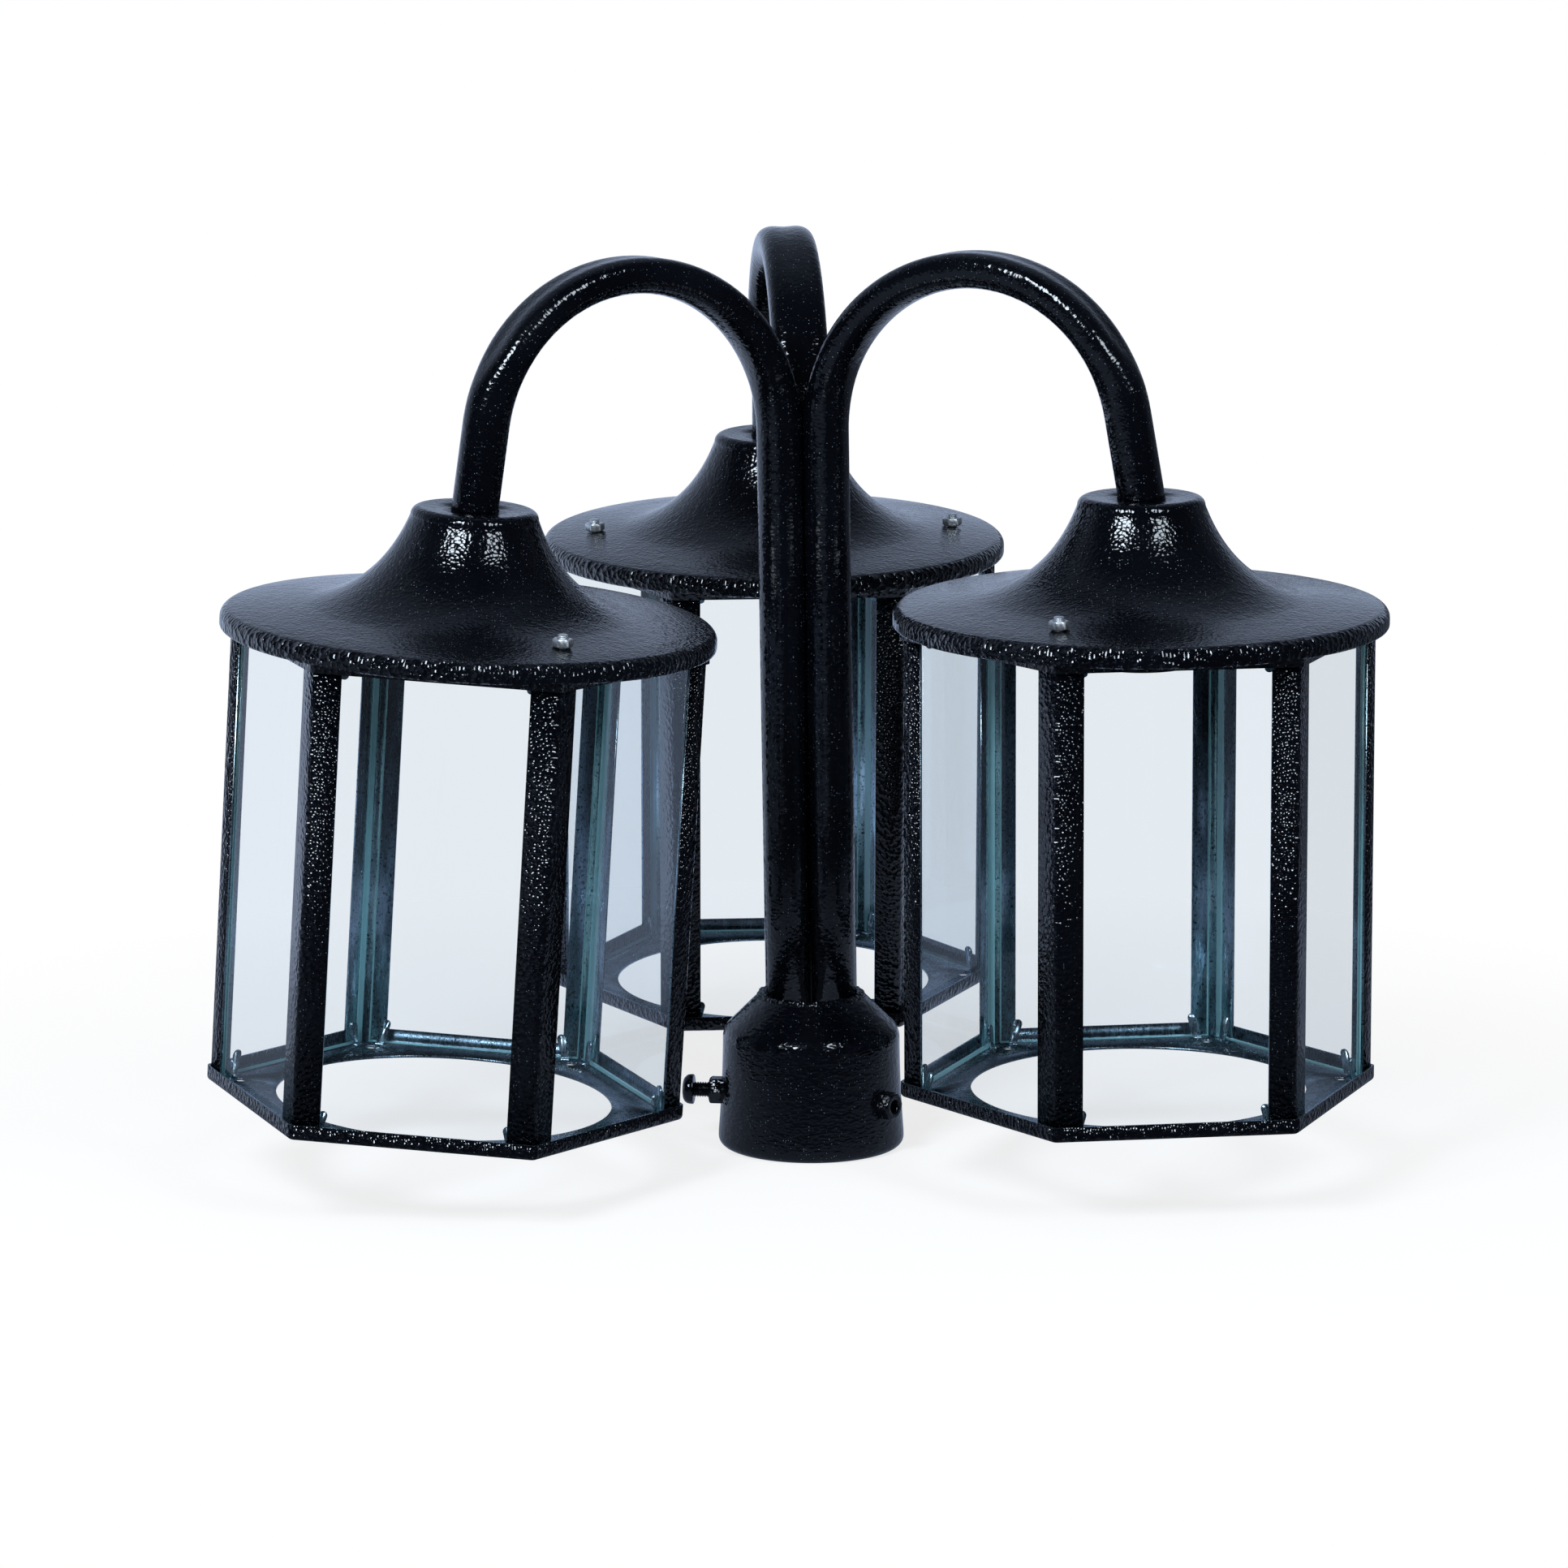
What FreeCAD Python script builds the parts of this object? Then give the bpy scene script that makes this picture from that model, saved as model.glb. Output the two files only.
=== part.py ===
"""Post-top light with three hexagonal lanterns hung from bent tube arms.

Millimetres, +Z up.  The origin is the centre of the collar's foot, the bore of
the collar runs along Z, and -Y is the side that the light is seen from.
"""
import FreeCAD, Part
import math
import os
from collections import namedtuple

Vector = FreeCAD.Vector
Placement = FreeCAD.Placement
Rotation = FreeCAD.Rotation

X_AXIS = Vector(1, 0, 0)
Y_AXIS = Vector(0, 1, 0)
Z_AXIS = Vector(0, 0, 1)
ORIGIN = Vector(0, 0, 0)
FULL_TURN = 360.0
HEX_SIDES = 6
HEX_STEP = FULL_TURN / HEX_SIDES
COS_30 = math.cos(math.radians(HEX_STEP / 2))
CUT_MARGIN = 1.0                # how far a cutting tool runs past a face
HEAD_DOME_SHARE = 0.6           # part of a pan head's height that is domed

# ------------------------------------------------------- collar on the post
COLLAR_BORE_DIAMETER = 62.0     # takes a 60.3 mm post
COLLAR_WALL = 4.0
COLLAR_STRAIGHT_HEIGHT = 46.7   # foot to the start of the cone
COLLAR_FLARE = 2.2              # extra radius at the foot
COLLAR_FOOT_ROUND = 3.6         # rounded outer edge of the foot
CONE_SLOPE_DEG = 45.0
CONE_LIP = 1.7                  # metal left around the bundle of tubes
BUNDLE_CLEARANCE = 0.3
STEM_FOOT_BELOW_CONE = 8.0      # tubes run this far into the cone
WELD_BEAD_RADIUS = 2.1

# ------------------------------------------------- clamp screws of the collar
CLAMP_HEIGHT = 20.5             # screw axis above the foot
CLAMP_NUT_FLATS = 10.0          # M6 hexagon
CLAMP_NUT_LENGTH = 6.2
CLAMP_NUT_SINK = 1.2            # nut face let into the round wall, so it seats
CLAMP_NUT_CHAMFER = 0.6
TAPPED_HOLE_DIAMETER = 5.0      # minor diameter of the empty M6 thread
CLAMP_SCREW_DIAMETER = 6.0
CLAMP_SCREW_RUNNING = 0.05      # radial clearance between screw and nut
CLAMP_SCREW_LENGTH = 16.0
CLAMP_SCREW_POINT = 0.8         # chamfer on the tip
CLAMP_HEAD_DIAMETER = 12.0
CLAMP_HEAD_HEIGHT = 4.6
CLAMP_SCREW_BACKOFF = 6.2       # head stands this far off the nut
CROSS_RECESS_WIDTH = 1.6
CROSS_RECESS_LENGTH = 6.4
CROSS_RECESS_DEPTH = 2.4
WALL_HOLE_CLEARANCE = 0.3
CLAMP_AZIMUTHS = {"left": 173.0, "right": 324.0, "back": 68.0}
EMPTY_CLAMP = "right"

# ------------------------------------------------------------------- arms
TUBE_DIAMETER = 18.0
TUBE_WALL = 1.5
STEM_GAP = 0.05                 # between two stems of the bundle
BEND_RADIUS = 65.0              # centreline radius of the arch
BEND_SWEEP_DEG = 170.0
BEND_SPRING_HEIGHT = 286.0      # where the straight stem turns into the arch
LEG_LENGTH = 31.5               # end of the arch to the top of the lid
LEG_INSIDE_LID = 8.0
BEND_THICKNESS = 15.2           # the bent tube is squashed in its own plane
BEND_WIDTH = 22.0               # and wider across it
BEND_DISH = 0.8                 # shallow hollow along the outer face
BEND_DISH_WIDTH = 5.5           # from its middle to where it fades
BEND_ROUND_DEG = 7.0            # still round at each end of the arch
BEND_BLEND_DEG = 20.0           # sweep over which round turns into flat
BEND_SECTION_STEP_DEG = 10.0
SECTION_POINTS = 16
FLAT_POWER_THICK = 0.72         # exponents that square the oval a little
FLAT_POWER_WIDE = 0.86
STEM_LEAN_LEFT_DEG = 0.9        # the welded bundle leans a little
STEM_LEAN_BACK_DEG = 1.1

# ------------------------------------------------------------------- lids
LID_DIAMETER = 190.0
LID_SHEET = 1.2
LID_HEIGHT = 50.0               # skirt edge to the flat top of the neck
LID_NECK_DIAMETER = 49.0
LID_SKIRT_HEIGHT = 7.5
LID_EDGE_ROUND = 4.0
LID_SHOULDER_ROUND = 3.5
LID_FLARE_START = (64.0, 11.0)  # radius, height where the brim starts to rise
LID_FLARE_POLE = (36.0, 16.5)   # pulls the flare into its curve
LID_FLARE_END_BELOW_TOP = 2.5

# ------------------------------------------------------ lid screws and nuts
LID_FIX_RADIUS = 74.0
LID_SCREW_DIAMETER = 4.0
LID_SCREW_HOLE_CLEARANCE = 0.2
LID_SCREW_HEAD_DIAMETER = 8.0
LID_SCREW_HEAD_HEIGHT = 2.4
LID_NUT_FLATS = 7.0
LID_NUT_HEIGHT = 3.2
LID_SCREW_PAST_NUT = 1.6
LID_FIX_TURN_DEG = 90.0         # fixings stand across the arm
LID_FIX_COUNT = 2

# ------------------------------------------------------------------- cage
CAGE_RIDGE_RADIUS = 92.0        # outer ridge of the corner posts
CAGE_DEPTH = 182.4              # lid edge down to the underside of the tray
SHEET = 1.0                     # corner posts, tray and top frame
POST_LEAF = 9.3
PAN_CORNER_ROUND = 3.0
PAN_FIT = 0.05                  # slack between a post's ridge and the pan's corner
TRAY_RIM = 6.0
TRAY_HOLE_DIAMETER = 130.0
DRAIN_HOLE_DIAMETER = 5.0
DRAIN_HOLE_RADIUS = 80.0
TOP_FRAME_DROP = 3.0            # rim showing below the lid
TOP_FRAME_RISE = 5.4            # its flat top above the lid's edge
TOP_FRAME_HOLE_DIAMETER = 124.0

# ------------------------------------------------------------- panes, clips
PANE_THICKNESS = 3.0
PANE_FACE_GAP = 0.05            # between glass and the leaf in front of it
PANE_END_GAP = 0.3              # at the tray and the top frame
PANE_SIDE_GAP = 1.6             # half of the slit between two panes
CLIP_SHEET = 0.8
CLIP_WIDTH = 4.2
CLIP_HEIGHT = 10.0
CLIP_FOOT_WIDTH = 3.4           # the leaf narrows towards its fold
CLIP_FOOT_LENGTH = 3.0          # foot folded inward, spot-welded to the sheet
CLIP_FROM_CORNER = 6.4          # middle of the foot to the corner, along the pane
CLIP_SPLAY_DEG = 12.0           # tips lean away from the post
CLIP_FACE_GAP = 0.05

# -------------------------------------------------------------- lampholders
HOLDER_DIAMETER = 40.0
HOLDER_SHELL_LENGTH = 32.0
HOLDER_SHELL_WALL = 3.0
HOLDER_CAP_LENGTH = 18.0
HOLDER_CAP_SKIRT = 6.0          # straight lower part of the cap
HOLDER_CAP_TOP_DIAMETER = 22.0
HOLDER_CAP_WALL = 2.5
HOLDER_TOP_BELOW_LID = 15.0     # top of the cap below the lid's flat top
HOLDER_INSERT_THICKNESS = 6.0   # ceramic floor that carries the contact
HOLDER_THREAD_DIAMETER = 27.0   # lamp cap that the holder takes
HOLDER_THREAD_LENGTH = 22.0
CONTACT_DIAMETER = 6.0
CONTACT_PIN_DIAMETER = 3.0
CONTACT_BUTTON = 2.0
CONTACT_STANDOFF = 2.2          # button to the ceramic floor, its travel
CONTACT_PIN_RUNNING = 0.05
NIPPLE_DIAMETER = 10.0
NIPPLE_BORE = 7.2
NIPPLE_RUNNING = 0.05
PLUG_LENGTH = 6.0
PLUG_FROM_TUBE_END = 0.5
LOCKNUT_FLATS = 14.0
LOCKNUT_HEIGHT = 3.0

# Each lantern: azimuth of its arm, lean about X and Y, turn of the hexagon.
Lantern = namedtuple("Lantern", "name stem_azimuth arm_azimuth lean_x lean_y turn")
LANTERNS = (
    Lantern("left", 210.0, 210.4, 0.7, 3.5, -5.9),
    Lantern("right", 330.0, 332.8, 0.4, -0.3, 7.3),
    Lantern("back", 90.0, 95.0, 2.2, 0.1, 4.3),
)

# ---------------------------------------------------------- derived values
COLLAR_BORE_RADIUS = COLLAR_BORE_DIAMETER / 2
COLLAR_RADIUS = COLLAR_BORE_RADIUS + COLLAR_WALL
TUBE_RADIUS = TUBE_DIAMETER / 2
STEM_PITCH_RADIUS = (TUBE_DIAMETER + STEM_GAP) / math.sqrt(3)
BUNDLE_RADIUS = STEM_PITCH_RADIUS + TUBE_RADIUS
CONE_HOLE_RADIUS = BUNDLE_RADIUS + BUNDLE_CLEARANCE
CONE_TOP_RADIUS = CONE_HOLE_RADIUS + CONE_LIP
CONE_SLOPE = math.tan(math.radians(CONE_SLOPE_DEG))
CONE_TOP_HEIGHT = COLLAR_STRAIGHT_HEIGHT + (COLLAR_RADIUS - CONE_TOP_RADIUS) * CONE_SLOPE
LID_RADIUS = LID_DIAMETER / 2
LID_NECK_RADIUS = LID_NECK_DIAMETER / 2
POST_APOTHEM = CAGE_RIDGE_RADIUS * COS_30
PAN_INNER_ROUND = PAN_CORNER_ROUND - SHEET
PAN_INNER_APOTHEM = POST_APOTHEM + PAN_FIT + PAN_INNER_ROUND * (1.0 - COS_30)
PAN_APOTHEM = PAN_INNER_APOTHEM + SHEET
PANE_OUTER_APOTHEM = POST_APOTHEM - SHEET - PANE_FACE_GAP
PANE_INNER_APOTHEM = PANE_OUTER_APOTHEM - PANE_THICKNESS
TRAY_FLOOR = -CAGE_DEPTH + SHEET
TOP_FRAME_UNDERSIDE = TOP_FRAME_RISE - SHEET
HOLDER_CAP_TOP = LID_HEIGHT - HOLDER_TOP_BELOW_LID
HOLDER_JOINT = HOLDER_CAP_TOP - HOLDER_CAP_LENGTH
HOLDER_RADIUS = HOLDER_DIAMETER / 2


# ------------------------------------------------------------------ helpers
def polar(radius, azimuth, height=0.0):
    """Point at a radius and azimuth (degrees) around Z."""
    angle = math.radians(azimuth)
    return Vector(radius * math.cos(angle), radius * math.sin(angle), height)


def turned(shape, angle, axis=Z_AXIS):
    """Copy of a shape turned about an axis through the origin."""
    copy = shape.copy()
    copy.rotate(ORIGIN, axis, angle)
    return copy


def moved(shape, vector):
    """Copy of a shape moved by a vector."""
    copy = shape.copy()
    copy.translate(vector)
    return copy


def disc(radius, low, high):
    """Solid cylinder about Z between two heights."""
    return Part.makeCylinder(radius, high - low, Vector(0, 0, low), Z_AXIS)


def ring(outer, inner, low, high):
    """Tube about Z between two heights."""
    return disc(outer, low, high).cut(disc(inner, low - CUT_MARGIN, high + CUT_MARGIN))


def revolved(outline):
    """Solid of revolution about Z of a closed (radius, height) outline."""
    points = [Vector(radius, 0, height) for radius, height in outline]
    wire = Part.makePolygon(points + points[:1])
    return Part.Face(wire).revolve(ORIGIN, Z_AXIS, FULL_TURN)


def prism(points, low, high):
    """Extrude a closed XY polygon from one height to another."""
    corners = [Vector(point.x, point.y, low) for point in points]
    wire = Part.makePolygon(corners + corners[:1])
    return Part.Face(wire).extrude(Z_AXIS * (high - low))


def hexagon(apothem, low, high, corner_round=0.0):
    """Hexagonal prism with a corner on +X and rounded upright edges."""
    corners = [polar(apothem / COS_30, HEX_STEP * k) for k in range(HEX_SIDES)]
    solid = prism(corners, low, high)
    if corner_round <= 0:
        return solid
    upright = [edge for edge in solid.Edges if abs(edge.tangentAt(edge.FirstParameter).z) > COS_30]
    return solid.makeFillet(corner_round, upright)


def hex_nut(flats, bore_radius, low, high):
    """Plain hexagon nut about Z."""
    bore = disc(bore_radius, low - CUT_MARGIN, high + CUT_MARGIN)
    return hexagon(flats / 2, low, high).cut(bore)


def rounded_head(radius, low, high):
    """Pan head about Z, flat below and domed at its upper edge."""
    head = disc(radius, low, high)
    rim = [edge for edge in head.Edges if abs(edge.BoundBox.ZMin - high) < 1e-6 and edge.Closed]
    return head.makeFillet((high - low) * HEAD_DOME_SHARE, rim)


# ------------------------------------------------------------------- collar
def collar_wall_radius(height):
    """Outer radius of the flared wall at a height."""
    rise = min(height / COLLAR_STRAIGHT_HEIGHT, 1.0)
    return COLLAR_RADIUS + COLLAR_FLARE * (1.0 - rise) ** 2


def collar_outer():
    """Filled body of the collar: flared wall, rounded foot and cone."""
    foot_radius = collar_wall_radius(COLLAR_FOOT_ROUND)
    middle = COLLAR_STRAIGHT_HEIGHT / 2
    foot_start = Vector(foot_radius - COLLAR_FOOT_ROUND, 0, 0)
    diagonal = COLLAR_FOOT_ROUND * math.sqrt(0.5)
    foot_middle = Vector(foot_start.x + diagonal, 0, COLLAR_FOOT_ROUND - diagonal)
    foot_end = Vector(foot_radius, 0, COLLAR_FOOT_ROUND)
    wall_middle = Vector(collar_wall_radius(middle), 0, middle)
    wall_end = Vector(COLLAR_RADIUS, 0, COLLAR_STRAIGHT_HEIGHT)
    cone_end = Vector(CONE_TOP_RADIUS, 0, CONE_TOP_HEIGHT)
    centre_top = Vector(0, 0, CONE_TOP_HEIGHT)
    edges = [
        Part.LineSegment(ORIGIN, foot_start).toShape(),
        Part.Arc(foot_start, foot_middle, foot_end).toShape(),
        Part.Arc(foot_end, wall_middle, wall_end).toShape(),
        Part.LineSegment(wall_end, cone_end).toShape(),
        Part.LineSegment(cone_end, centre_top).toShape(),
        Part.LineSegment(centre_top, ORIGIN).toShape(),
    ]
    return Part.Face(Part.Wire(edges)).revolve(ORIGIN, Z_AXIS, FULL_TURN)


def collar_hollow():
    """Room inside the collar: bore, inner cone and the hole for the tubes."""
    half_turn = math.radians(90.0 - CONE_SLOPE_DEG) / 2
    shoulder = COLLAR_STRAIGHT_HEIGHT - COLLAR_WALL * math.tan(half_turn)
    throat = shoulder + (COLLAR_BORE_RADIUS - CONE_HOLE_RADIUS) * CONE_SLOPE
    above = CONE_TOP_HEIGHT + CUT_MARGIN
    return revolved([
        (0, -CUT_MARGIN), (COLLAR_BORE_RADIUS, -CUT_MARGIN), (COLLAR_BORE_RADIUS, shoulder),
        (CONE_HOLE_RADIUS, throat), (CONE_HOLE_RADIUS, above), (0, above),
    ])


def at_clamp(shape, azimuth):
    """Lay a shape built along Z onto a clamp screw's axis, +Z outward."""
    laid = turned(shape, 90.0, Y_AXIS)
    return moved(turned(laid, azimuth), Z_AXIS * CLAMP_HEIGHT)


def clamp_nut_span():
    """Radii of the inner and outer face of a clamp nut."""
    inner = collar_wall_radius(CLAMP_HEIGHT) - CLAMP_NUT_SINK
    return inner, inner + CLAMP_NUT_LENGTH


def clamp_bore_radius(name):
    """Radius of the thread in one clamp nut."""
    if name == EMPTY_CLAMP:
        return TAPPED_HOLE_DIAMETER / 2
    return CLAMP_SCREW_DIAMETER / 2 + CLAMP_SCREW_RUNNING


def make_collar():
    """Cup on the post, with seats and holes for the clamp nuts."""
    collar = collar_outer().cut(collar_hollow())
    inner, outer = clamp_nut_span()
    hole_radius = CLAMP_SCREW_DIAMETER / 2 + WALL_HOLE_CLEARANCE
    for azimuth in CLAMP_AZIMUTHS.values():
        collar = collar.cut(at_clamp(disc(hole_radius, 0, outer), azimuth))
        collar = collar.cut(at_clamp(hexagon(CLAMP_NUT_FLATS / 2, inner, outer), azimuth))
    return collar


def make_clamp_nuts():
    """Three nuts welded to the outside of the collar."""
    inner, outer = clamp_nut_span()
    nuts = []
    for name, azimuth in CLAMP_AZIMUTHS.items():
        bore = clamp_bore_radius(name)
        wide = bore + CLAMP_NUT_CHAMFER
        countersink = revolved([
            (0, outer - CLAMP_NUT_CHAMFER), (bore, outer - CLAMP_NUT_CHAMFER),
            (wide, outer), (wide, outer + CUT_MARGIN), (0, outer + CUT_MARGIN),
        ])
        nut = hex_nut(CLAMP_NUT_FLATS, bore, inner, outer).cut(countersink)
        nuts.append(at_clamp(nut, azimuth))
    return Part.makeCompound(nuts)


def make_clamp_screw(azimuth):
    """Pan-head screw, drawn at rest with its head off the nut."""
    seat = clamp_nut_span()[1] + CLAMP_SCREW_BACKOFF
    tip = seat - CLAMP_SCREW_LENGTH
    radius = CLAMP_SCREW_DIAMETER / 2
    shank = revolved([
        (0, tip), (radius - CLAMP_SCREW_POINT, tip), (radius, tip + CLAMP_SCREW_POINT),
        (radius, seat), (0, seat),
    ])
    top = seat + CLAMP_HEAD_HEIGHT
    screw = shank.fuse(rounded_head(CLAMP_HEAD_DIAMETER / 2, seat, top))
    half_long = CROSS_RECESS_LENGTH / 2
    half_wide = CROSS_RECESS_WIDTH / 2
    for half_x, half_y in ((half_long, half_wide), (half_wide, half_long)):
        slot = Part.makeBox(2 * half_x, 2 * half_y, CROSS_RECESS_DEPTH + CUT_MARGIN,
                            Vector(-half_x, -half_y, top - CROSS_RECESS_DEPTH))
        screw = screw.cut(slot)
    return at_clamp(screw, azimuth)


# --------------------------------------------------------------------- arms
def stem_direction():
    """Unit vector along the leaning bundle of stems."""
    left = math.tan(math.radians(STEM_LEAN_LEFT_DEG))
    back = math.tan(math.radians(STEM_LEAN_BACK_DEG))
    return Vector(-left, back, 1.0).normalize()


def arm_frame(lantern):
    """Start of the arch, its up direction and its outward direction."""
    up = stem_direction()
    outward = polar(1.0, lantern.arm_azimuth)
    outward = (outward - up * outward.dot(up)).normalize()
    foot = polar(STEM_PITCH_RADIUS, lantern.stem_azimuth, CONE_TOP_HEIGHT)
    start = foot + up * (BEND_SPRING_HEIGHT - CONE_TOP_HEIGHT)
    return start, up, outward


def arch_point(lantern, sweep_deg):
    """Centre, travel direction and outer normal at a sweep along the arch."""
    start, up, outward = arm_frame(lantern)
    angle = math.radians(sweep_deg)
    normal = up * math.sin(angle) - outward * math.cos(angle)
    travel = up * math.cos(angle) + outward * math.sin(angle)
    centre = start + outward * BEND_RADIUS + normal * BEND_RADIUS
    return centre, travel, normal


def flat_share(sweep_deg):
    """How far the section has gone from round (0) to squashed (1)."""
    from_end = min(sweep_deg, BEND_SWEEP_DEG - sweep_deg) - BEND_ROUND_DEG
    share = max(0.0, min(from_end / BEND_BLEND_DEG, 1.0))
    return share * share * (3.0 - 2.0 * share)


def signed_power(value, power):
    """Power that keeps the sign of its base."""
    return math.copysign(abs(value) ** power, value)


def section_wire(centre, travel, normal, share, inset):
    """Closed tube section: a circle blended with a dished oval."""
    across = travel.cross(normal)
    points = []
    for step in range(SECTION_POINTS):
        angle = 2.0 * math.pi * step / SECTION_POINTS
        cosine = math.cos(angle)
        sine = math.sin(angle)
        thick = (BEND_THICKNESS / 2 - inset) * signed_power(cosine, FLAT_POWER_THICK)
        wide = (BEND_WIDTH / 2 - inset) * signed_power(sine, FLAT_POWER_WIDE)
        if cosine > 0:
            thick -= BEND_DISH * math.exp(-(wide / BEND_DISH_WIDTH) ** 2)
        radial = (1.0 - share) * (TUBE_RADIUS - inset) * cosine + share * thick
        lateral = (1.0 - share) * (TUBE_RADIUS - inset) * sine + share * wide
        points.append(centre + normal * radial + across * lateral)
    curve = Part.BSplineCurve()
    curve.interpolate(Points=points, PeriodicFlag=True)
    return Part.Wire([curve.toShape()])


def tube_body(lantern, inset, stem_length, leg_length):
    """Filled arm: straight stem, squashed arch and straight leg."""
    steps = round(BEND_SWEEP_DEG / BEND_SECTION_STEP_DEG)
    sweeps = [BEND_SWEEP_DEG * step / steps for step in range(steps + 1)]
    wires = []
    for sweep in sweeps:
        centre, travel, normal = arch_point(lantern, sweep)
        wires.append(section_wire(centre, travel, normal, flat_share(sweep), inset))
    arch = Part.makeLoft(wires, True, False)
    stem = Part.Face(wires[0]).extrude(stem_direction() * -stem_length)
    leg = Part.Face(wires[-1]).extrude(arch_point(lantern, BEND_SWEEP_DEG)[1] * leg_length)
    return stem.fuse([arch, leg])


def stem_length():
    """Stem from the start of the arch down to its foot inside the cone."""
    return BEND_SPRING_HEIGHT - CONE_TOP_HEIGHT + STEM_FOOT_BELOW_CONE


def arm_outer(lantern):
    """Arm as one filled body with the tube's outer surface."""
    return tube_body(lantern, 0.0, stem_length(), LEG_LENGTH + LEG_INSIDE_LID)


def arm_inner(lantern):
    """The room inside the tube, longer than the tube at both ends."""
    longer = LEG_LENGTH + LEG_INSIDE_LID + CUT_MARGIN
    return tube_body(lantern, TUBE_WALL, stem_length() + CUT_MARGIN, longer)


def make_stem_weld(arms):
    """Weld bead that joins the three stems to the cone."""
    section_centre = Vector(CONE_HOLE_RADIUS, 0, CONE_TOP_HEIGHT)
    circle = Part.makeCircle(WELD_BEAD_RADIUS, section_centre, Y_AXIS)
    bead = Part.Face(Part.Wire([circle])).revolve(ORIGIN, Z_AXIS, FULL_TURN)
    bead = bead.cut(collar_outer())
    for body in arms:
        bead = bead.cut(body)
    return bead


# ------------------------------------------------------------ lantern frame
def lantern_placement(lantern):
    """Placement of a lantern whose lid meets the end of its arm."""
    centre, travel, _ = arch_point(lantern, BEND_SWEEP_DEG)
    lid_top = centre + travel * LEG_LENGTH
    turn = Rotation(Y_AXIS, lantern.lean_y)
    turn = turn.multiply(Rotation(X_AXIS, lantern.lean_x))
    turn = turn.multiply(Rotation(Z_AXIS, lantern.turn))
    return Placement(lid_top - turn.multVec(Z_AXIS * LID_HEIGHT), turn)


def placed(shape, lantern):
    """Copy of a shape moved from the lantern's own frame into the model."""
    copy = shape.copy()
    copy.Placement = lantern_placement(lantern).multiply(copy.Placement)
    return copy


# --------------------------------------------------------------------- lids
def mitre(before, corner, after, inset):
    """Move an outline's corner inward by the sheet's thickness."""
    along_in = (corner - before).normalize()
    along_out = (after - corner).normalize()
    normal_in = Vector(-along_in.z, 0, along_in.x)
    normal_out = Vector(-along_out.z, 0, along_out.x)
    return corner + (normal_in + normal_out) * (inset / (1.0 + normal_in.dot(normal_out)))


def lid_outline(inset):
    """Corners of the bell's outline, from the skirt's edge to the axis."""
    top = Vector(LID_NECK_RADIUS, 0, LID_HEIGHT)
    outer = [
        Vector(LID_RADIUS, 0, -LID_SKIRT_HEIGHT),
        Vector(LID_RADIUS, 0, LID_SKIRT_HEIGHT),
        Vector(LID_FLARE_START[0], 0, LID_FLARE_START[1]),
        Vector(LID_FLARE_POLE[0], 0, LID_FLARE_POLE[1]),
        top - Z_AXIS * LID_FLARE_END_BELOW_TOP,
        top,
        Vector(0, 0, LID_HEIGHT),
    ]
    corners = [mitre(*outer[k - 1:k + 2], inset) for k in range(1, len(outer) - 1)]
    return corners


def rounded_corner(before, corner, after, radius):
    """Two tangent points of a rounded corner and the middle of its arc."""
    back = (before - corner).normalize()
    ahead = (after - corner).normalize()
    half = back.getAngle(ahead) / 2
    reach = radius / math.tan(half)
    bisector = (back + ahead).normalize()
    middle = corner + bisector * (radius / math.sin(half) - radius)
    return corner + back * reach, middle, corner + ahead * reach


def bell(inset, low):
    """Filled bell of the lid, inset by a sheet thickness, from a height up."""
    edge, start, pole, end, shoulder = lid_outline(inset)
    foot = Vector(edge.x, 0, low)
    axis_top = Vector(0, 0, shoulder.z)
    axis_low = Vector(0, 0, low)
    edge_a, edge_m, edge_b = rounded_corner(foot, edge, start, LID_EDGE_ROUND - inset)
    top_a, top_m, top_b = rounded_corner(end, shoulder, axis_top, LID_SHOULDER_ROUND - inset)
    flare = Part.BezierCurve()
    flare.setPoles([start, pole, top_a])
    edges = [
        Part.LineSegment(axis_low, foot).toShape(),
        Part.LineSegment(foot, edge_a).toShape(),
        Part.Arc(edge_a, edge_m, edge_b).toShape(),
        Part.LineSegment(edge_b, start).toShape(),
        flare.toShape(),
        Part.Arc(top_a, top_m, top_b).toShape(),
        Part.LineSegment(top_b, axis_top).toShape(),
        Part.LineSegment(axis_top, axis_low).toShape(),
    ]
    return Part.Face(Part.Wire(edges)).revolve(ORIGIN, Z_AXIS, FULL_TURN)


def fix_points(lantern):
    """Places of the lid screws in the lantern's own frame."""
    across = lantern.arm_azimuth + LID_FIX_TURN_DEG - lantern.turn
    step = FULL_TURN / LID_FIX_COUNT
    return [polar(LID_FIX_RADIUS, across + step * k) for k in range(LID_FIX_COUNT)]


def fix_holes(lantern, low, high):
    """Cutting tool for the lid screws' holes."""
    radius = LID_SCREW_DIAMETER / 2 + LID_SCREW_HOLE_CLEARANCE
    return Part.makeCompound([moved(disc(radius, low, high), at) for at in fix_points(lantern)])


def brim_height():
    """Highest point of the sloping brim under a lid nut."""
    slope = (LID_FLARE_START[1] - LID_SKIRT_HEIGHT) / (LID_RADIUS - LID_FLARE_START[0])
    inner_side = LID_FIX_RADIUS - LID_NUT_FLATS / 2 / COS_30
    return LID_SKIRT_HEIGHT + slope * (LID_RADIUS - inner_side)


def make_lid(lantern, arm_body):
    """Spun bell, open below, with the arm's tube let through its top."""
    lid = bell(0.0, 0.0).cut(bell(LID_SHEET, -CUT_MARGIN))
    lid = lid.cut(fix_holes(lantern, 0, LID_HEIGHT))
    return placed(lid, lantern).cut(arm_body)


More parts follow.
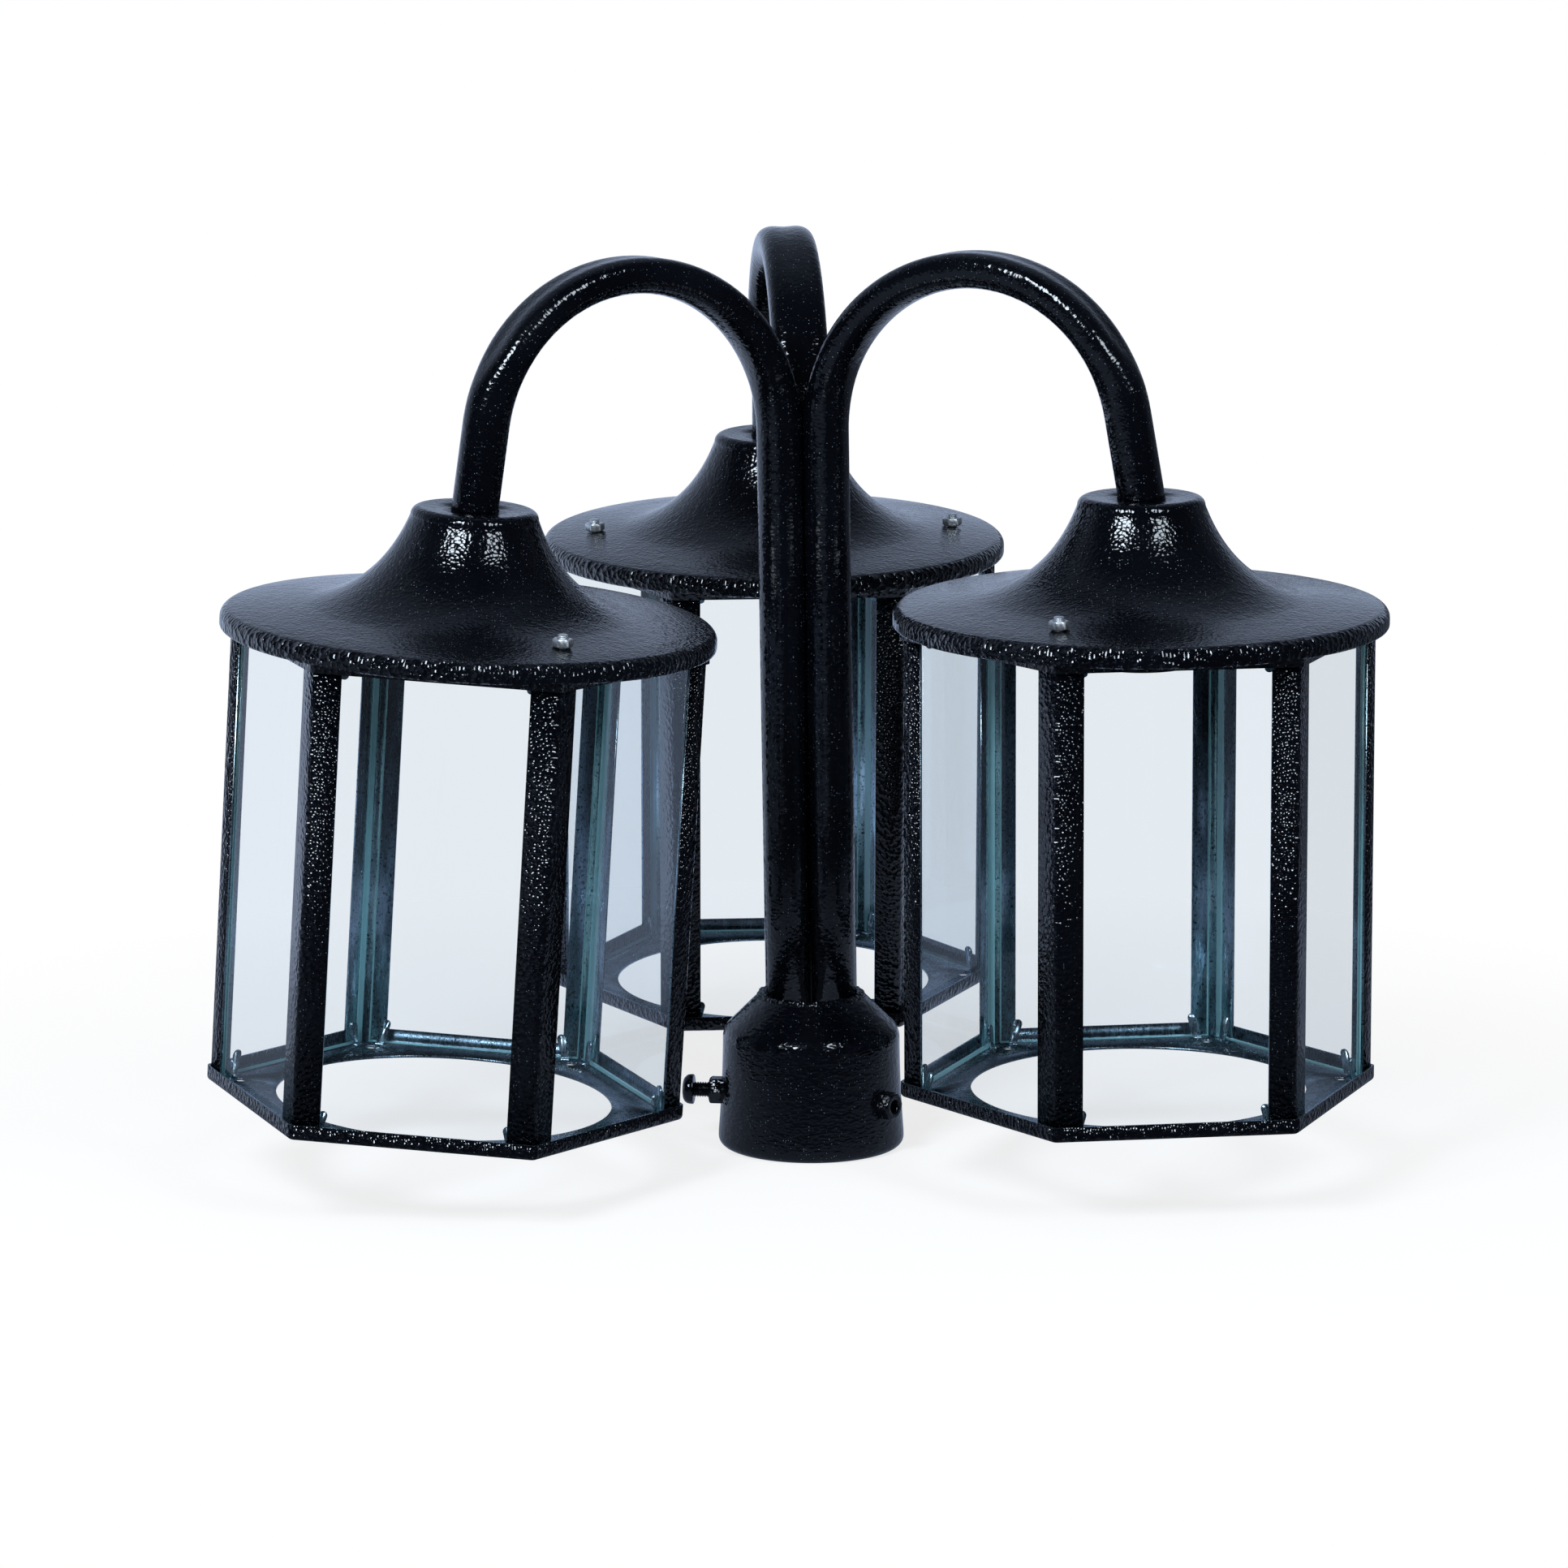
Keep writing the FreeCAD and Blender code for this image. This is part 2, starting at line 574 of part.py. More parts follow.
def make_lid_fixings(lantern):
    """Screws up through the top frame, with nuts on top of the lid."""
    seat = brim_height()
    head_top = TOP_FRAME_UNDERSIDE
    nut_top = seat + LID_NUT_HEIGHT
    radius = LID_SCREW_DIAMETER / 2
    head = turned(rounded_head(LID_SCREW_HEAD_DIAMETER / 2, -head_top,
                               LID_SCREW_HEAD_HEIGHT - head_top), 180.0, X_AXIS)
    screw = head.fuse(disc(radius, head_top, nut_top + LID_SCREW_PAST_NUT))
    nut = hex_nut(LID_NUT_FLATS, radius, seat, nut_top)
    solids = []
    for at in fix_points(lantern):
        solids.append(placed(moved(screw, at), lantern))
        solids.append(placed(moved(nut, at), lantern))
    return Part.makeCompound(solids)


# --------------------------------------------------------------------- cage
def pan(floor_low, floor_high, rim_low, rim_high, hole_diameter):
    """Hexagonal sheet pan: a floor with a round hole and a folded rim."""
    low = min(floor_low, rim_low)
    high = max(floor_high, rim_high)
    body = hexagon(PAN_APOTHEM, low, high, PAN_CORNER_ROUND)
    room_low = floor_high if rim_high > floor_high else low - CUT_MARGIN
    room_high = floor_low if rim_low < floor_low else high + CUT_MARGIN
    body = body.cut(hexagon(PAN_INNER_APOTHEM, room_low, room_high, PAN_INNER_ROUND))
    return body.cut(disc(hole_diameter / 2, low - CUT_MARGIN, high + CUT_MARGIN))


def make_bottom_tray(lantern):
    """Tray with its rim up, a lamp hole and a drain hole at each corner."""
    low = -CAGE_DEPTH
    tray = pan(low, TRAY_FLOOR, low, low + TRAY_RIM, TRAY_HOLE_DIAMETER)
    for corner in range(HEX_SIDES):
        at = polar(DRAIN_HOLE_RADIUS, HEX_STEP * corner)
        drain = disc(DRAIN_HOLE_DIAMETER / 2, low - CUT_MARGIN, TRAY_FLOOR + CUT_MARGIN)
        tray = tray.cut(moved(drain, at))
    return placed(tray, lantern)


def make_top_frame(lantern):
    """Inverted tray under the lid, with its rim down."""
    frame = pan(TOP_FRAME_UNDERSIDE, TOP_FRAME_RISE, -TOP_FRAME_DROP, TOP_FRAME_RISE,
                TOP_FRAME_HOLE_DIAMETER)
    frame = frame.cut(fix_holes(lantern, 0, LID_HEIGHT))
    return placed(frame, lantern)


def angle_section(ridge_radius, leaf, sheet):
    """Outline of a 120 degree angle at the +X corner of the hexagon."""
    ridge = Vector(ridge_radius, 0, 0)
    inner_ridge = Vector(ridge_radius - sheet / COS_30, 0, 0)
    upper_end = ridge + polar(leaf, 180.0 - HEX_STEP)
    lower_end = ridge + polar(leaf, HEX_STEP - 180.0)
    upper_in = upper_end - polar(sheet, HEX_STEP / 2)
    lower_in = lower_end - polar(sheet, -HEX_STEP / 2)
    return [ridge, upper_end, upper_in, inner_ridge, lower_in, lower_end]


def make_corner_posts(lantern):
    """Six folded angles between the tray and the top frame."""
    section = angle_section(CAGE_RIDGE_RADIUS, POST_LEAF, SHEET)
    post = prism(section, TRAY_FLOOR, TOP_FRAME_UNDERSIDE)
    posts = [placed(turned(post, HEX_STEP * k), lantern) for k in range(HEX_SIDES)]
    return Part.makeCompound(posts)


def make_pane(lantern, side):
    """One flat pane behind the leaves of two neighbouring posts."""
    half_width = PANE_INNER_APOTHEM * math.tan(math.radians(HEX_STEP / 2)) - PANE_SIDE_GAP
    low = TRAY_FLOOR + PANE_END_GAP
    high = TOP_FRAME_UNDERSIDE - PANE_END_GAP
    pane = Part.makeBox(PANE_THICKNESS, 2 * half_width, high - low,
                        Vector(PANE_INNER_APOTHEM, -half_width, low))
    return placed(turned(pane, HEX_STEP * (side + 0.5)), lantern)


def clip_leaf(hand):
    """Upright leaf of a clip in the YZ plane, standing on the origin."""
    lean = -hand * math.radians(CLIP_SPLAY_DEG)
    way = Vector(0, math.sin(lean), math.cos(lean))
    side = Vector(0, way.z, -way.y) * (CLIP_WIDTH / 2)
    foot = Y_AXIS * (CLIP_FOOT_WIDTH / 2)
    middle = way * ((CLIP_HEIGHT - CLIP_WIDTH / 2) / way.z)
    edges = [
        Part.LineSegment(foot * -1.0, foot).toShape(),
        Part.LineSegment(foot, middle + side).toShape(),
        Part.Arc(middle + side, middle + way * (CLIP_WIDTH / 2), middle - side).toShape(),
        Part.LineSegment(middle - side, foot * -1.0).toShape(),
    ]
    return Part.Face(Part.Wire(edges))


def clip(hand):
    """Round-ended clip: an upright leaf on a foot folded inward."""
    leaf = clip_leaf(hand).extrude(X_AXIS * -CLIP_SHEET)
    foot = Part.makeBox(CLIP_FOOT_LENGTH, CLIP_FOOT_WIDTH, CLIP_SHEET,
                        Vector(-CLIP_FOOT_LENGTH, -CLIP_FOOT_WIDTH / 2, 0))
    return leaf.fuse(foot).removeSplitter()


def make_glass_clips(lantern):
    """Clips on the tray and under the top frame, two at each end of each pane."""
    face = PANE_INNER_APOTHEM - CLIP_FACE_GAP
    reach = PANE_INNER_APOTHEM * math.tan(math.radians(HEX_STEP / 2)) - CLIP_FROM_CORNER
    clips = []
    for hand in (-1.0, 1.0):
        standing = moved(clip(hand), Vector(face, hand * reach, TRAY_FLOOR))
        hanging = moved(turned(clip(-hand), FULL_TURN / 2, X_AXIS),
                        Vector(face, hand * reach, TOP_FRAME_UNDERSIDE))
        for side in range(HEX_SIDES):
            angle = HEX_STEP * (side + 0.5)
            clips.append(placed(turned(standing, angle), lantern))
            clips.append(placed(turned(hanging, angle), lantern))
    return Part.makeCompound(clips)


# --------------------------------------------------------------- lampholder
def make_holder_cap(lantern):
    """Bell-shaped cap of the lampholder, bored for the nipple."""
    top_radius = HOLDER_CAP_TOP_DIAMETER / 2
    outer = revolved([
        (0, HOLDER_JOINT), (HOLDER_RADIUS, HOLDER_JOINT),
        (HOLDER_RADIUS, HOLDER_JOINT + HOLDER_CAP_SKIRT),
        (top_radius, HOLDER_CAP_TOP), (0, HOLDER_CAP_TOP),
    ])
    wall = HOLDER_CAP_WALL
    inner = revolved([
        (0, HOLDER_JOINT - CUT_MARGIN), (HOLDER_RADIUS - wall, HOLDER_JOINT - CUT_MARGIN),
        (HOLDER_RADIUS - wall, HOLDER_JOINT + HOLDER_CAP_SKIRT - wall / 2),
        (top_radius - wall / 2, HOLDER_CAP_TOP - wall), (0, HOLDER_CAP_TOP - wall),
    ])
    bore = disc(NIPPLE_DIAMETER / 2 + NIPPLE_RUNNING, HOLDER_JOINT, HOLDER_CAP_TOP + CUT_MARGIN)
    return placed(outer.cut(inner).cut(bore), lantern)


def make_holder_shell(lantern):
    """Lower shell with its ceramic floor and the screwed room for a lamp."""
    low = HOLDER_JOINT - HOLDER_SHELL_LENGTH
    shell = disc(HOLDER_RADIUS, low, HOLDER_JOINT)
    well_top = low + HOLDER_THREAD_LENGTH
    shell = shell.cut(disc(HOLDER_THREAD_DIAMETER / 2, low - CUT_MARGIN, well_top))
    upper_room = disc(HOLDER_RADIUS - HOLDER_SHELL_WALL, well_top + HOLDER_INSERT_THICKNESS,
                      HOLDER_JOINT + CUT_MARGIN)
    pin_hole = disc(CONTACT_PIN_DIAMETER / 2 + CONTACT_PIN_RUNNING, low, HOLDER_JOINT)
    return placed(shell.cut(upper_room).cut(pin_hole), lantern)


def make_centre_contact(lantern):
    """Sprung centre contact: a button below the floor on a pin through it."""
    well_top = HOLDER_JOINT - HOLDER_SHELL_LENGTH + HOLDER_THREAD_LENGTH
    button_top = well_top - CONTACT_STANDOFF
    button = disc(CONTACT_DIAMETER / 2, button_top - CONTACT_BUTTON, button_top)
    pin_top = well_top + HOLDER_INSERT_THICKNESS + CONTACT_BUTTON / 2
    pin = disc(CONTACT_PIN_DIAMETER / 2, button_top, pin_top)
    return placed(button.fuse(pin), lantern)


def make_nipple_set(lantern, tube_room):
    """Threaded nipple, the plug in the tube that takes it, and a locknut."""
    centre, travel, _ = arch_point(lantern, BEND_SWEEP_DEG)
    plug_low = centre + travel * (LEG_LENGTH + LEG_INSIDE_LID - PLUG_FROM_TUBE_END - PLUG_LENGTH)
    slab = Part.makeCylinder(TUBE_DIAMETER, PLUG_LENGTH, plug_low, travel)
    radius = NIPPLE_DIAMETER / 2
    nipple_low = HOLDER_CAP_TOP - HOLDER_CAP_WALL - LOCKNUT_HEIGHT
    nipple_top = LID_HEIGHT - LEG_INSIDE_LID + PLUG_LENGTH
    nipple = ring(radius, NIPPLE_BORE / 2, nipple_low, nipple_top)
    nut = hex_nut(LOCKNUT_FLATS, radius, HOLDER_CAP_TOP, HOLDER_CAP_TOP + LOCKNUT_HEIGHT)
    bore = placed(disc(radius, 0, LID_HEIGHT + LEG_LENGTH), lantern)
    plug = slab.common(tube_room).cut(bore)
    return Part.makeCompound([placed(nipple, lantern), placed(nut, lantern), plug])


# -------------------------------------------------------------------- build
def write(name, shape):
    """Write one node's STEP file."""
    shape.exportStep(os.path.join("parts", name + ".step"))


def build_lantern(lantern, arm_body, tube_room):
    """Write every node of one lantern."""
    tail = "_" + lantern.name
    write("lid" + tail, make_lid(lantern, arm_body))
    write("lid_fixings" + tail, make_lid_fixings(lantern))
    write("top_frame" + tail, make_top_frame(lantern))
    write("corner_posts" + tail, make_corner_posts(lantern))
    write("bottom_tray" + tail, make_bottom_tray(lantern))
    write("glass_clips" + tail, make_glass_clips(lantern))
    for side in range(HEX_SIDES):
        write("pane_%d%s" % (side + 1, tail), make_pane(lantern, side))
    write("holder_cap" + tail, make_holder_cap(lantern))
    write("holder_shell" + tail, make_holder_shell(lantern))
    write("centre_contact" + tail, make_centre_contact(lantern))
    write("nipple_set" + tail, make_nipple_set(lantern, tube_room))


def main():
    """Build all nodes."""
    os.makedirs("parts", exist_ok=True)
    arm_bodies = [arm_outer(lantern) for lantern in LANTERNS]
    for lantern, body in zip(LANTERNS, arm_bodies):
        room = arm_inner(lantern)
        write("arm_" + lantern.name, body.cut(room))
        build_lantern(lantern, body, room)
    write("collar", make_collar())
    write("clamp_nuts", make_clamp_nuts())
    write("stem_weld", make_stem_weld(arm_bodies))
    for name, azimuth in CLAMP_AZIMUTHS.items():
        if name != EMPTY_CLAMP:
            write("clamp_screw_" + name, make_clamp_screw(azimuth))


main()
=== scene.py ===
"""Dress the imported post-top light: three hexagonal lanterns hung from squashed tube arms.

Sizes are in millimetres, as on a maker's drawing, and those of the finishes and of the
studio in metres.  Each mesh is modelled in its own simple frame and turned into metres,
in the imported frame, when it is handed over.
"""
import logging
import math
from dataclasses import dataclass, field
from enum import Enum
from typing import Iterable, Sequence

import bmesh
import bpy
from bmesh.types import BMEdge, BMesh, BMVert
from mathutils import Matrix, Vector, noise
from mathutils.geometry import interpolate_bezier


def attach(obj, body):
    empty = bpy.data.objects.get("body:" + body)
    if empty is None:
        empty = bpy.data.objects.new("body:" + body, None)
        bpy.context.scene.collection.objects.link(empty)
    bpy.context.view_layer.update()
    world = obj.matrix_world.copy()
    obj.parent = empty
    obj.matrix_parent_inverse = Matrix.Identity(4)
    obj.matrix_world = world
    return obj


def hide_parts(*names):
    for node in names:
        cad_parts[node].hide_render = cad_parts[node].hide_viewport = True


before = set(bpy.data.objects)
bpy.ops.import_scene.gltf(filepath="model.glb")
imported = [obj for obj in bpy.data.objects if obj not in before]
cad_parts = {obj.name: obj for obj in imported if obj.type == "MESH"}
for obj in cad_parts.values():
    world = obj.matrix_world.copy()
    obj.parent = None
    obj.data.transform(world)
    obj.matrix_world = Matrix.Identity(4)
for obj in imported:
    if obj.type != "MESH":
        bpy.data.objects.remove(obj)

Material = bpy.types.Material
Object = bpy.types.Object
Socket = bpy.types.NodeSocket
Span = tuple[float, float]
Triple = tuple[float, float, float]
Rgb = tuple[float, float, float]
Fade = tuple[float, float, float, float]    # from, to, value at from, value at to

log = logging.getLogger("post_top_light")

MM = 0.001
HEX_SIDES = 6
HEX_STEP = math.tau / HEX_SIDES
COS_30 = math.cos(HEX_STEP / 2)
QUARTER = math.tau / 4
HALF = math.tau / 2
Z_AXIS = Vector((0, 0, 1))
IN_PLACE = Matrix.Identity(4)
INTO_METRES = Matrix.Scale(MM, 4)
SMOOTH_BELOW = math.radians(35.0)
MERGE_WITHIN = 1e-4
ARRIS_STEPS = 2
ALONG = 0.9                         # least part of a normal along the axis it follows
LID_HEIGHT = 50.0
GLASS_IOR = 1.5
BLACK = (0.0, 0.0, 0.0)
WHITE = (1.0, 1.0, 1.0)
NOISE_BAND = (0.3, 0.7)             # where most of a noise lies


class Body(Enum):
    """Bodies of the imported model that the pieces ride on."""

    FITTING = "fitting"
    LEFT_SCREW = "clamp_screw_left"
    BACK_SCREW = "clamp_screw_back"


class Slot(Enum):
    """Names of material slots, which each piece keeps beside its own list of finishes."""

    PAINT = "hammertone_paint"
    ZINC = "zinc_plated_steel"
    GLASS = "clear_glass"


# ---------------------------------------------------------------- node trees
@dataclass(frozen=True)
class Grain:
    """Noise whose features are about one size."""

    size: float
    detail: float = 2.0
    roughness: float = 0.5
    levels: Span = NOISE_BAND       # noise at which a second tone starts, and is full


class Wiring:
    """Small helper that adds and joins the nodes of one node tree."""

    def __init__(self, tree: bpy.types.NodeTree) -> None:
        """Start from an empty tree."""
        self.tree = tree
        tree.nodes.clear()

    def add(self, kind: str, inputs: dict | None = None, **settings: object) -> bpy.types.Node:
        """Add a node.

        Args:
            kind: the node's type without the ShaderNode prefix.
            inputs: values, colours or output sockets, by input name or index.
            settings: properties of the node itself.

        Returns:
            The new node.
        """
        node = self.tree.nodes.new("ShaderNode" + kind)
        for key, value in settings.items():
            setattr(node, key, value)
        for key, value in (inputs or {}).items():
            socket = node.inputs[key]
            if isinstance(value, Socket):
                self.tree.links.new(value, socket)
            elif socket.type == "RGBA":
                socket.default_value = (*value, 1.0)
            else:
                socket.default_value = value
        return node

    def one(self, kind: str, inputs: dict | None = None, **settings: object) -> Socket:
        """Add a node and return its first output."""
        return self.add(kind, inputs, **settings).outputs[0]

    def maths(self, operation: str, *values: object) -> Socket:
        """Work out a sum, product or other operation on values."""
        return self.one("Math", dict(enumerate(values)), operation=operation)

    def ramp(self, value: Socket, low: float, high: float,
             at_low: float = 0.0, at_high: float = 1.0) -> Socket:
        """Map a value from one range onto another, held at both ends."""
        return self.one("MapRange", {0: value, 1: low, 2: high, 3: at_low, 4: at_high})

    def blend(self, share: Socket, first: object, second: object) -> Socket:
        """Mix two colours."""
        return self.add("Mix", {0: share, 6: first, 7: second}, data_type="RGBA").outputs[2]

    def mixed(self, share: Socket, first: Socket, second: Socket) -> Socket:
        """Mix two shaders."""
        return self.one("MixShader", {0: share, 1: first, 2: second})

    def place(self) -> Socket:
        """Object coordinates, in metres."""
        return self.add("TexCoord").outputs["Object"]

    def stretched(self, stretch: Triple) -> Socket:
        """Object coordinates stretched along the axes."""
        return self.one("Mapping", {0: self.place(), 3: stretch})

    def cells(self, where: Socket, size: float) -> bpy.types.Node:
        """Cells of one size, with a distance from and a colour for each middle."""
        return self.add("TexVoronoi", {"Vector": where, "Scale": 1.0 / size})

    def grain(self, grain: Grain, where: Socket | None = None) -> Socket:
        """Noise of a grain, on Object coordinates unless others are given."""
        return self.one("TexNoise", {"Vector": where or self.place(), "Scale": 1.0 / grain.size,
                                     "Detail": grain.detail, "Roughness": grain.roughness})

    def bump(self, height: Socket, depth: float, below: Socket | None = None) -> Socket:
        """Bump of a given depth in metres, on top of another one."""
        inputs = {"Height": height, "Distance": depth, "Strength": 1.0}
        return self.one("Bump", inputs | ({"Normal": below} if below else {}))

    def ray(self, kind: str) -> Socket:
        """1 on the rays of one kind, such as Glossy."""
        return self.add("LightPath").outputs[f"Is {kind} Ray"]

    def seen(self) -> Socket:
        """1 on rays that come straight from the camera or through glass."""
        return self.maths("MAXIMUM", self.ray("Camera"), self.ray("Transmission"))


# ------------------------------------------------------------------ finishes
@dataclass(frozen=True)
class Finish:
    """One material; each kind of finish wires its own shader."""

    name: str

    def shader(self, wiring: Wiring) -> Socket:
        """Wire the finish and return its shader."""
        raise NotImplementedError(self.name)

    def build(self) -> Material:
        """Make the material.

        Returns:
            The new material, with the finish on its surface.
        """
        material = bpy.data.materials.new(self.name)
        material.use_nodes = True
        wiring = Wiring(material.node_tree)
        wiring.add("OutputMaterial", {"Surface": self.shader(wiring)})
        return material


@dataclass(frozen=True)
class HammertonePaint(Finish):
    """Black hammertone powder coat with fine silver flakes."""

    peel_size: float = 0.0014       # width of a dimple of the coat
    peel_slope: float = 0.12        # steepest slope of a dimple
    roll: Grain = Grain(0.0040, 1.0)    # slow waves under the dimples
    roll_slope: float = 0.05
    stretch: Triple = (1.0, 1.0, 1.0)
    roughness: Span = (0.06, 0.13)
    cloud: Grain = Grain(0.03, 3.0, levels=(0.35, 0.7))     # dusty patches
    flake_cell: float = 0.0010      # spacing of the flakes
    flake_share: float = 0.5        # share of the cells that hold a flake
    flake_edge: Span = (0.12, 0.20)     # where a flake fades, in cells from its middle
    flake_contrast: float = 2.2     # how far most flakes are dimmer than the brightest
    flake_rough: float = 0.6
    flake_metal: float = 0.85
    shine: float = 0.50
    black: Rgb = (0.0008, 0.0011, 0.0022)
    dusty: Rgb = (0.0020, 0.0027, 0.0045)
    silver: Rgb = (0.34, 0.42, 0.51)

    def flakes(self, wiring: Wiring) -> Socket:
        """Wire a mask of the flakes.

        Args:
            wiring: the material's wiring.

        Returns:
            The mask, stronger on some flakes than on others.
        """
        cells = wiring.cells(wiring.place(), self.flake_cell)
        dot = wiring.ramp(cells.outputs["Distance"], *self.flake_edge, 1.0, 0.0)
        chance = wiring.one("SeparateColor", {0: cells.outputs["Color"]})
        lit = wiring.ramp(chance, 1.0 - self.flake_share, 1.0)
        return wiring.maths("MULTIPLY", dot, wiring.maths("POWER", lit, self.flake_contrast))

    def dimples(self, wiring: Wiring) -> Socket:
        """Wire the dimples on the slow waves.

        Args:
            wiring: the material's wiring.

        Returns:
            The normal; each dimple is a bowl whose depth grows as the square of its width.
        """
        where = wiring.stretched(self.stretch)
        rolls = wiring.bump(wiring.grain(self.roll, where), self.roll_slope * self.roll.size)
        distance = wiring.cells(where, self.peel_size).outputs["Distance"]
        bowls = wiring.maths("POWER", distance, 2.0)
        return wiring.bump(bowls, self.peel_slope * self.peel_size, rolls)

    def shader(self, wiring: Wiring) -> Socket:
        """Wire the coat.

        Args:
            wiring: the material's wiring.

        Returns:
            The shader.
        """
        flake = self.flakes(wiring)
        cloud = wiring.grain(self.cloud)
        coat = wiring.blend(wiring.ramp(cloud, *self.cloud.levels), self.black, self.dusty)
        smooth = wiring.ramp(cloud, *NOISE_BAND, *self.roughness)
        flake_rough = wiring.maths("MULTIPLY", flake, self.flake_rough)
        return wiring.one("BsdfPrincipled", {
            "Base Color": wiring.blend(flake, coat, self.silver),
            "Roughness": wiring.maths("MAXIMUM", smooth, flake_rough),
            "Metallic": wiring.maths("MULTIPLY", flake, self.flake_metal),
            "Specular IOR Level": self.shine, "Normal": self.dimples(wiring),
        })


@dataclass(frozen=True)
class ZincPlate(Finish):
    """Zinc on fasteners or inside the sheets, where some black paint drifted in."""

    overspray: bool = True
    roughness: Span = (0.18, 0.36)
    streak: Triple = (1.0, 1.0, 0.12)
    patches: Grain = Grain(0.014, 4.0, 0.6, (0.35, 0.65))
    lines: Grain = Grain(0.0012, 3.0, 0.6, (0.4, 0.75))
    line_depth: float = 0.35        # how far a line goes towards the dull tone
    specks: Grain = Grain(0.0009, 2.0, 0.7, (0.57, 0.65))
    grit: Grain = Grain(0.0015)
    grit_depth: float = 0.00002
    bright: Rgb = (0.60, 0.76, 0.83)
    dull: Rgb = (0.34, 0.46, 0.52)
    stray: Rgb = (0.012, 0.016, 0.022)

    def shader(self, wiring: Wiring) -> Socket:
        """Wire the plating, and fine specks of stray paint over it.

        Args:
            wiring: the material's wiring.

        Returns:
            The shader.
        """
        patches = wiring.ramp(wiring.grain(self.patches), *self.patches.levels)
        lines = wiring.grain(self.lines, wiring.stretched(self.streak))
        streaks = wiring.ramp(lines, *self.lines.levels, 0.0, self.line_depth)
        colour = wiring.blend(streaks, wiring.blend(patches, self.dull, self.bright), self.dull)
        if self.overspray:
            specks = wiring.ramp(wiring.grain(self.specks), *self.specks.levels)
            colour = wiring.blend(specks, colour, self.stray)
        return wiring.one("BsdfPrincipled", {
            "Base Color": colour, "Metallic": 1.0,
            "Roughness": wiring.ramp(lines, *NOISE_BAND, *self.roughness),
            "Normal": wiring.bump(wiring.grain(self.grit), self.grit_depth),
        })


@dataclass(frozen=True)
class ClearGlass(Finish):
    """Face of a thin pane, seen straight through and glossy on the side it is looked at."""

    tint: Rgb = (0.950, 0.966, 0.980)
    roughness: float = 0.02
    gloss: float = 0.7              # share of what one bare face would mirror

    def shader(self, wiring: Wiring) -> Socket:
        """Wire the face.

        Args:
            wiring: the material's wiring.

        Returns:
            The shader.
        """
        clear = wiring.one("BsdfTransparent", {"Color": self.tint})
        mirror = wiring.one("BsdfGlossy", {"Color": WHITE, "Roughness": self.roughness})
        mirrored = wiring.one("Fresnel", {"IOR": GLASS_IOR})
        rear = wiring.add("NewGeometry").outputs["Backfacing"]
        front = wiring.ramp(rear, 0.0, 1.0, self.gloss, 0.0)
        return wiring.mixed(wiring.maths("MULTIPLY", mirrored, front), clear, mirror)


@dataclass(frozen=True)
class GlassEdge(Finish):
    """Ground edge of a pane: the glass's green edge tint, lightened into a painted glow of the
    light that the glass gathers.
    """

    # green edge tint of the glass, made pale as a painted glow of gathered light
    teal: Rgb = (0.34, 0.68, 0.72)
    roughness: float = 0.35
    clearness: float = 0.45

    def shader(self, wiring: Wiring) -> Socket:
        """Wire the edge."""
        return wiring.one("BsdfPrincipled", {
            "Base Color": self.teal, "Roughness": self.roughness,
            "Transmission Weight": self.clearness, "IOR": GLASS_IOR,
        })


@dataclass(frozen=True)
class MouldedResin(Finish):
    """Black moulded resin of the lampholders."""

    swirl: Grain = Grain(0.006, 5.0, 0.65, (0.4, 0.75))
    skin: Grain = Grain(0.0008)
    skin_depth: float = 0.00001
    roughness: Span = (0.28, 0.42)
    colour: Rgb = (0.012, 0.010, 0.009)
    fleck: Rgb = (0.030, 0.022, 0.016)

    def shader(self, wiring: Wiring) -> Socket:
        """Wire the resin.

        Args:
            wiring: the material's wiring.

        Returns:
            The shader.
        """
        swirl = wiring.grain(self.swirl)
        flecks = wiring.ramp(swirl, *self.swirl.levels)
        return wiring.one("BsdfPrincipled", {
            "Base Color": wiring.blend(flecks, self.colour, self.fleck),
            "Roughness": wiring.ramp(swirl, *NOISE_BAND, *self.roughness),
            "Normal": wiring.bump(wiring.grain(self.skin), self.skin_depth),
        })


@dataclass(frozen=True)
class Brass(Finish):
    """Slightly tarnished brass of the centre contacts."""

    patches: Grain = Grain(0.003, 4.0, 0.6, (0.45, 0.75))
    roughness: Span = (0.22, 0.45)
    clean: Rgb = (0.72, 0.53, 0.24)
    tarnish: Rgb = (0.30, 0.20, 0.10)

    def shader(self, wiring: Wiring) -> Socket:
        """Wire the brass.

        Args:
            wiring: the material's wiring.

        Returns:
            The shader.
        """
        patches = wiring.grain(self.patches)
        dark = wiring.ramp(patches, *self.patches.levels)
        return wiring.one("BsdfPrincipled", {
            "Base Color": wiring.blend(dark, self.clean, self.tarnish), "Metallic": 1.0,
            "Roughness": wiring.ramp(patches, *NOISE_BAND, *self.roughness),
        })


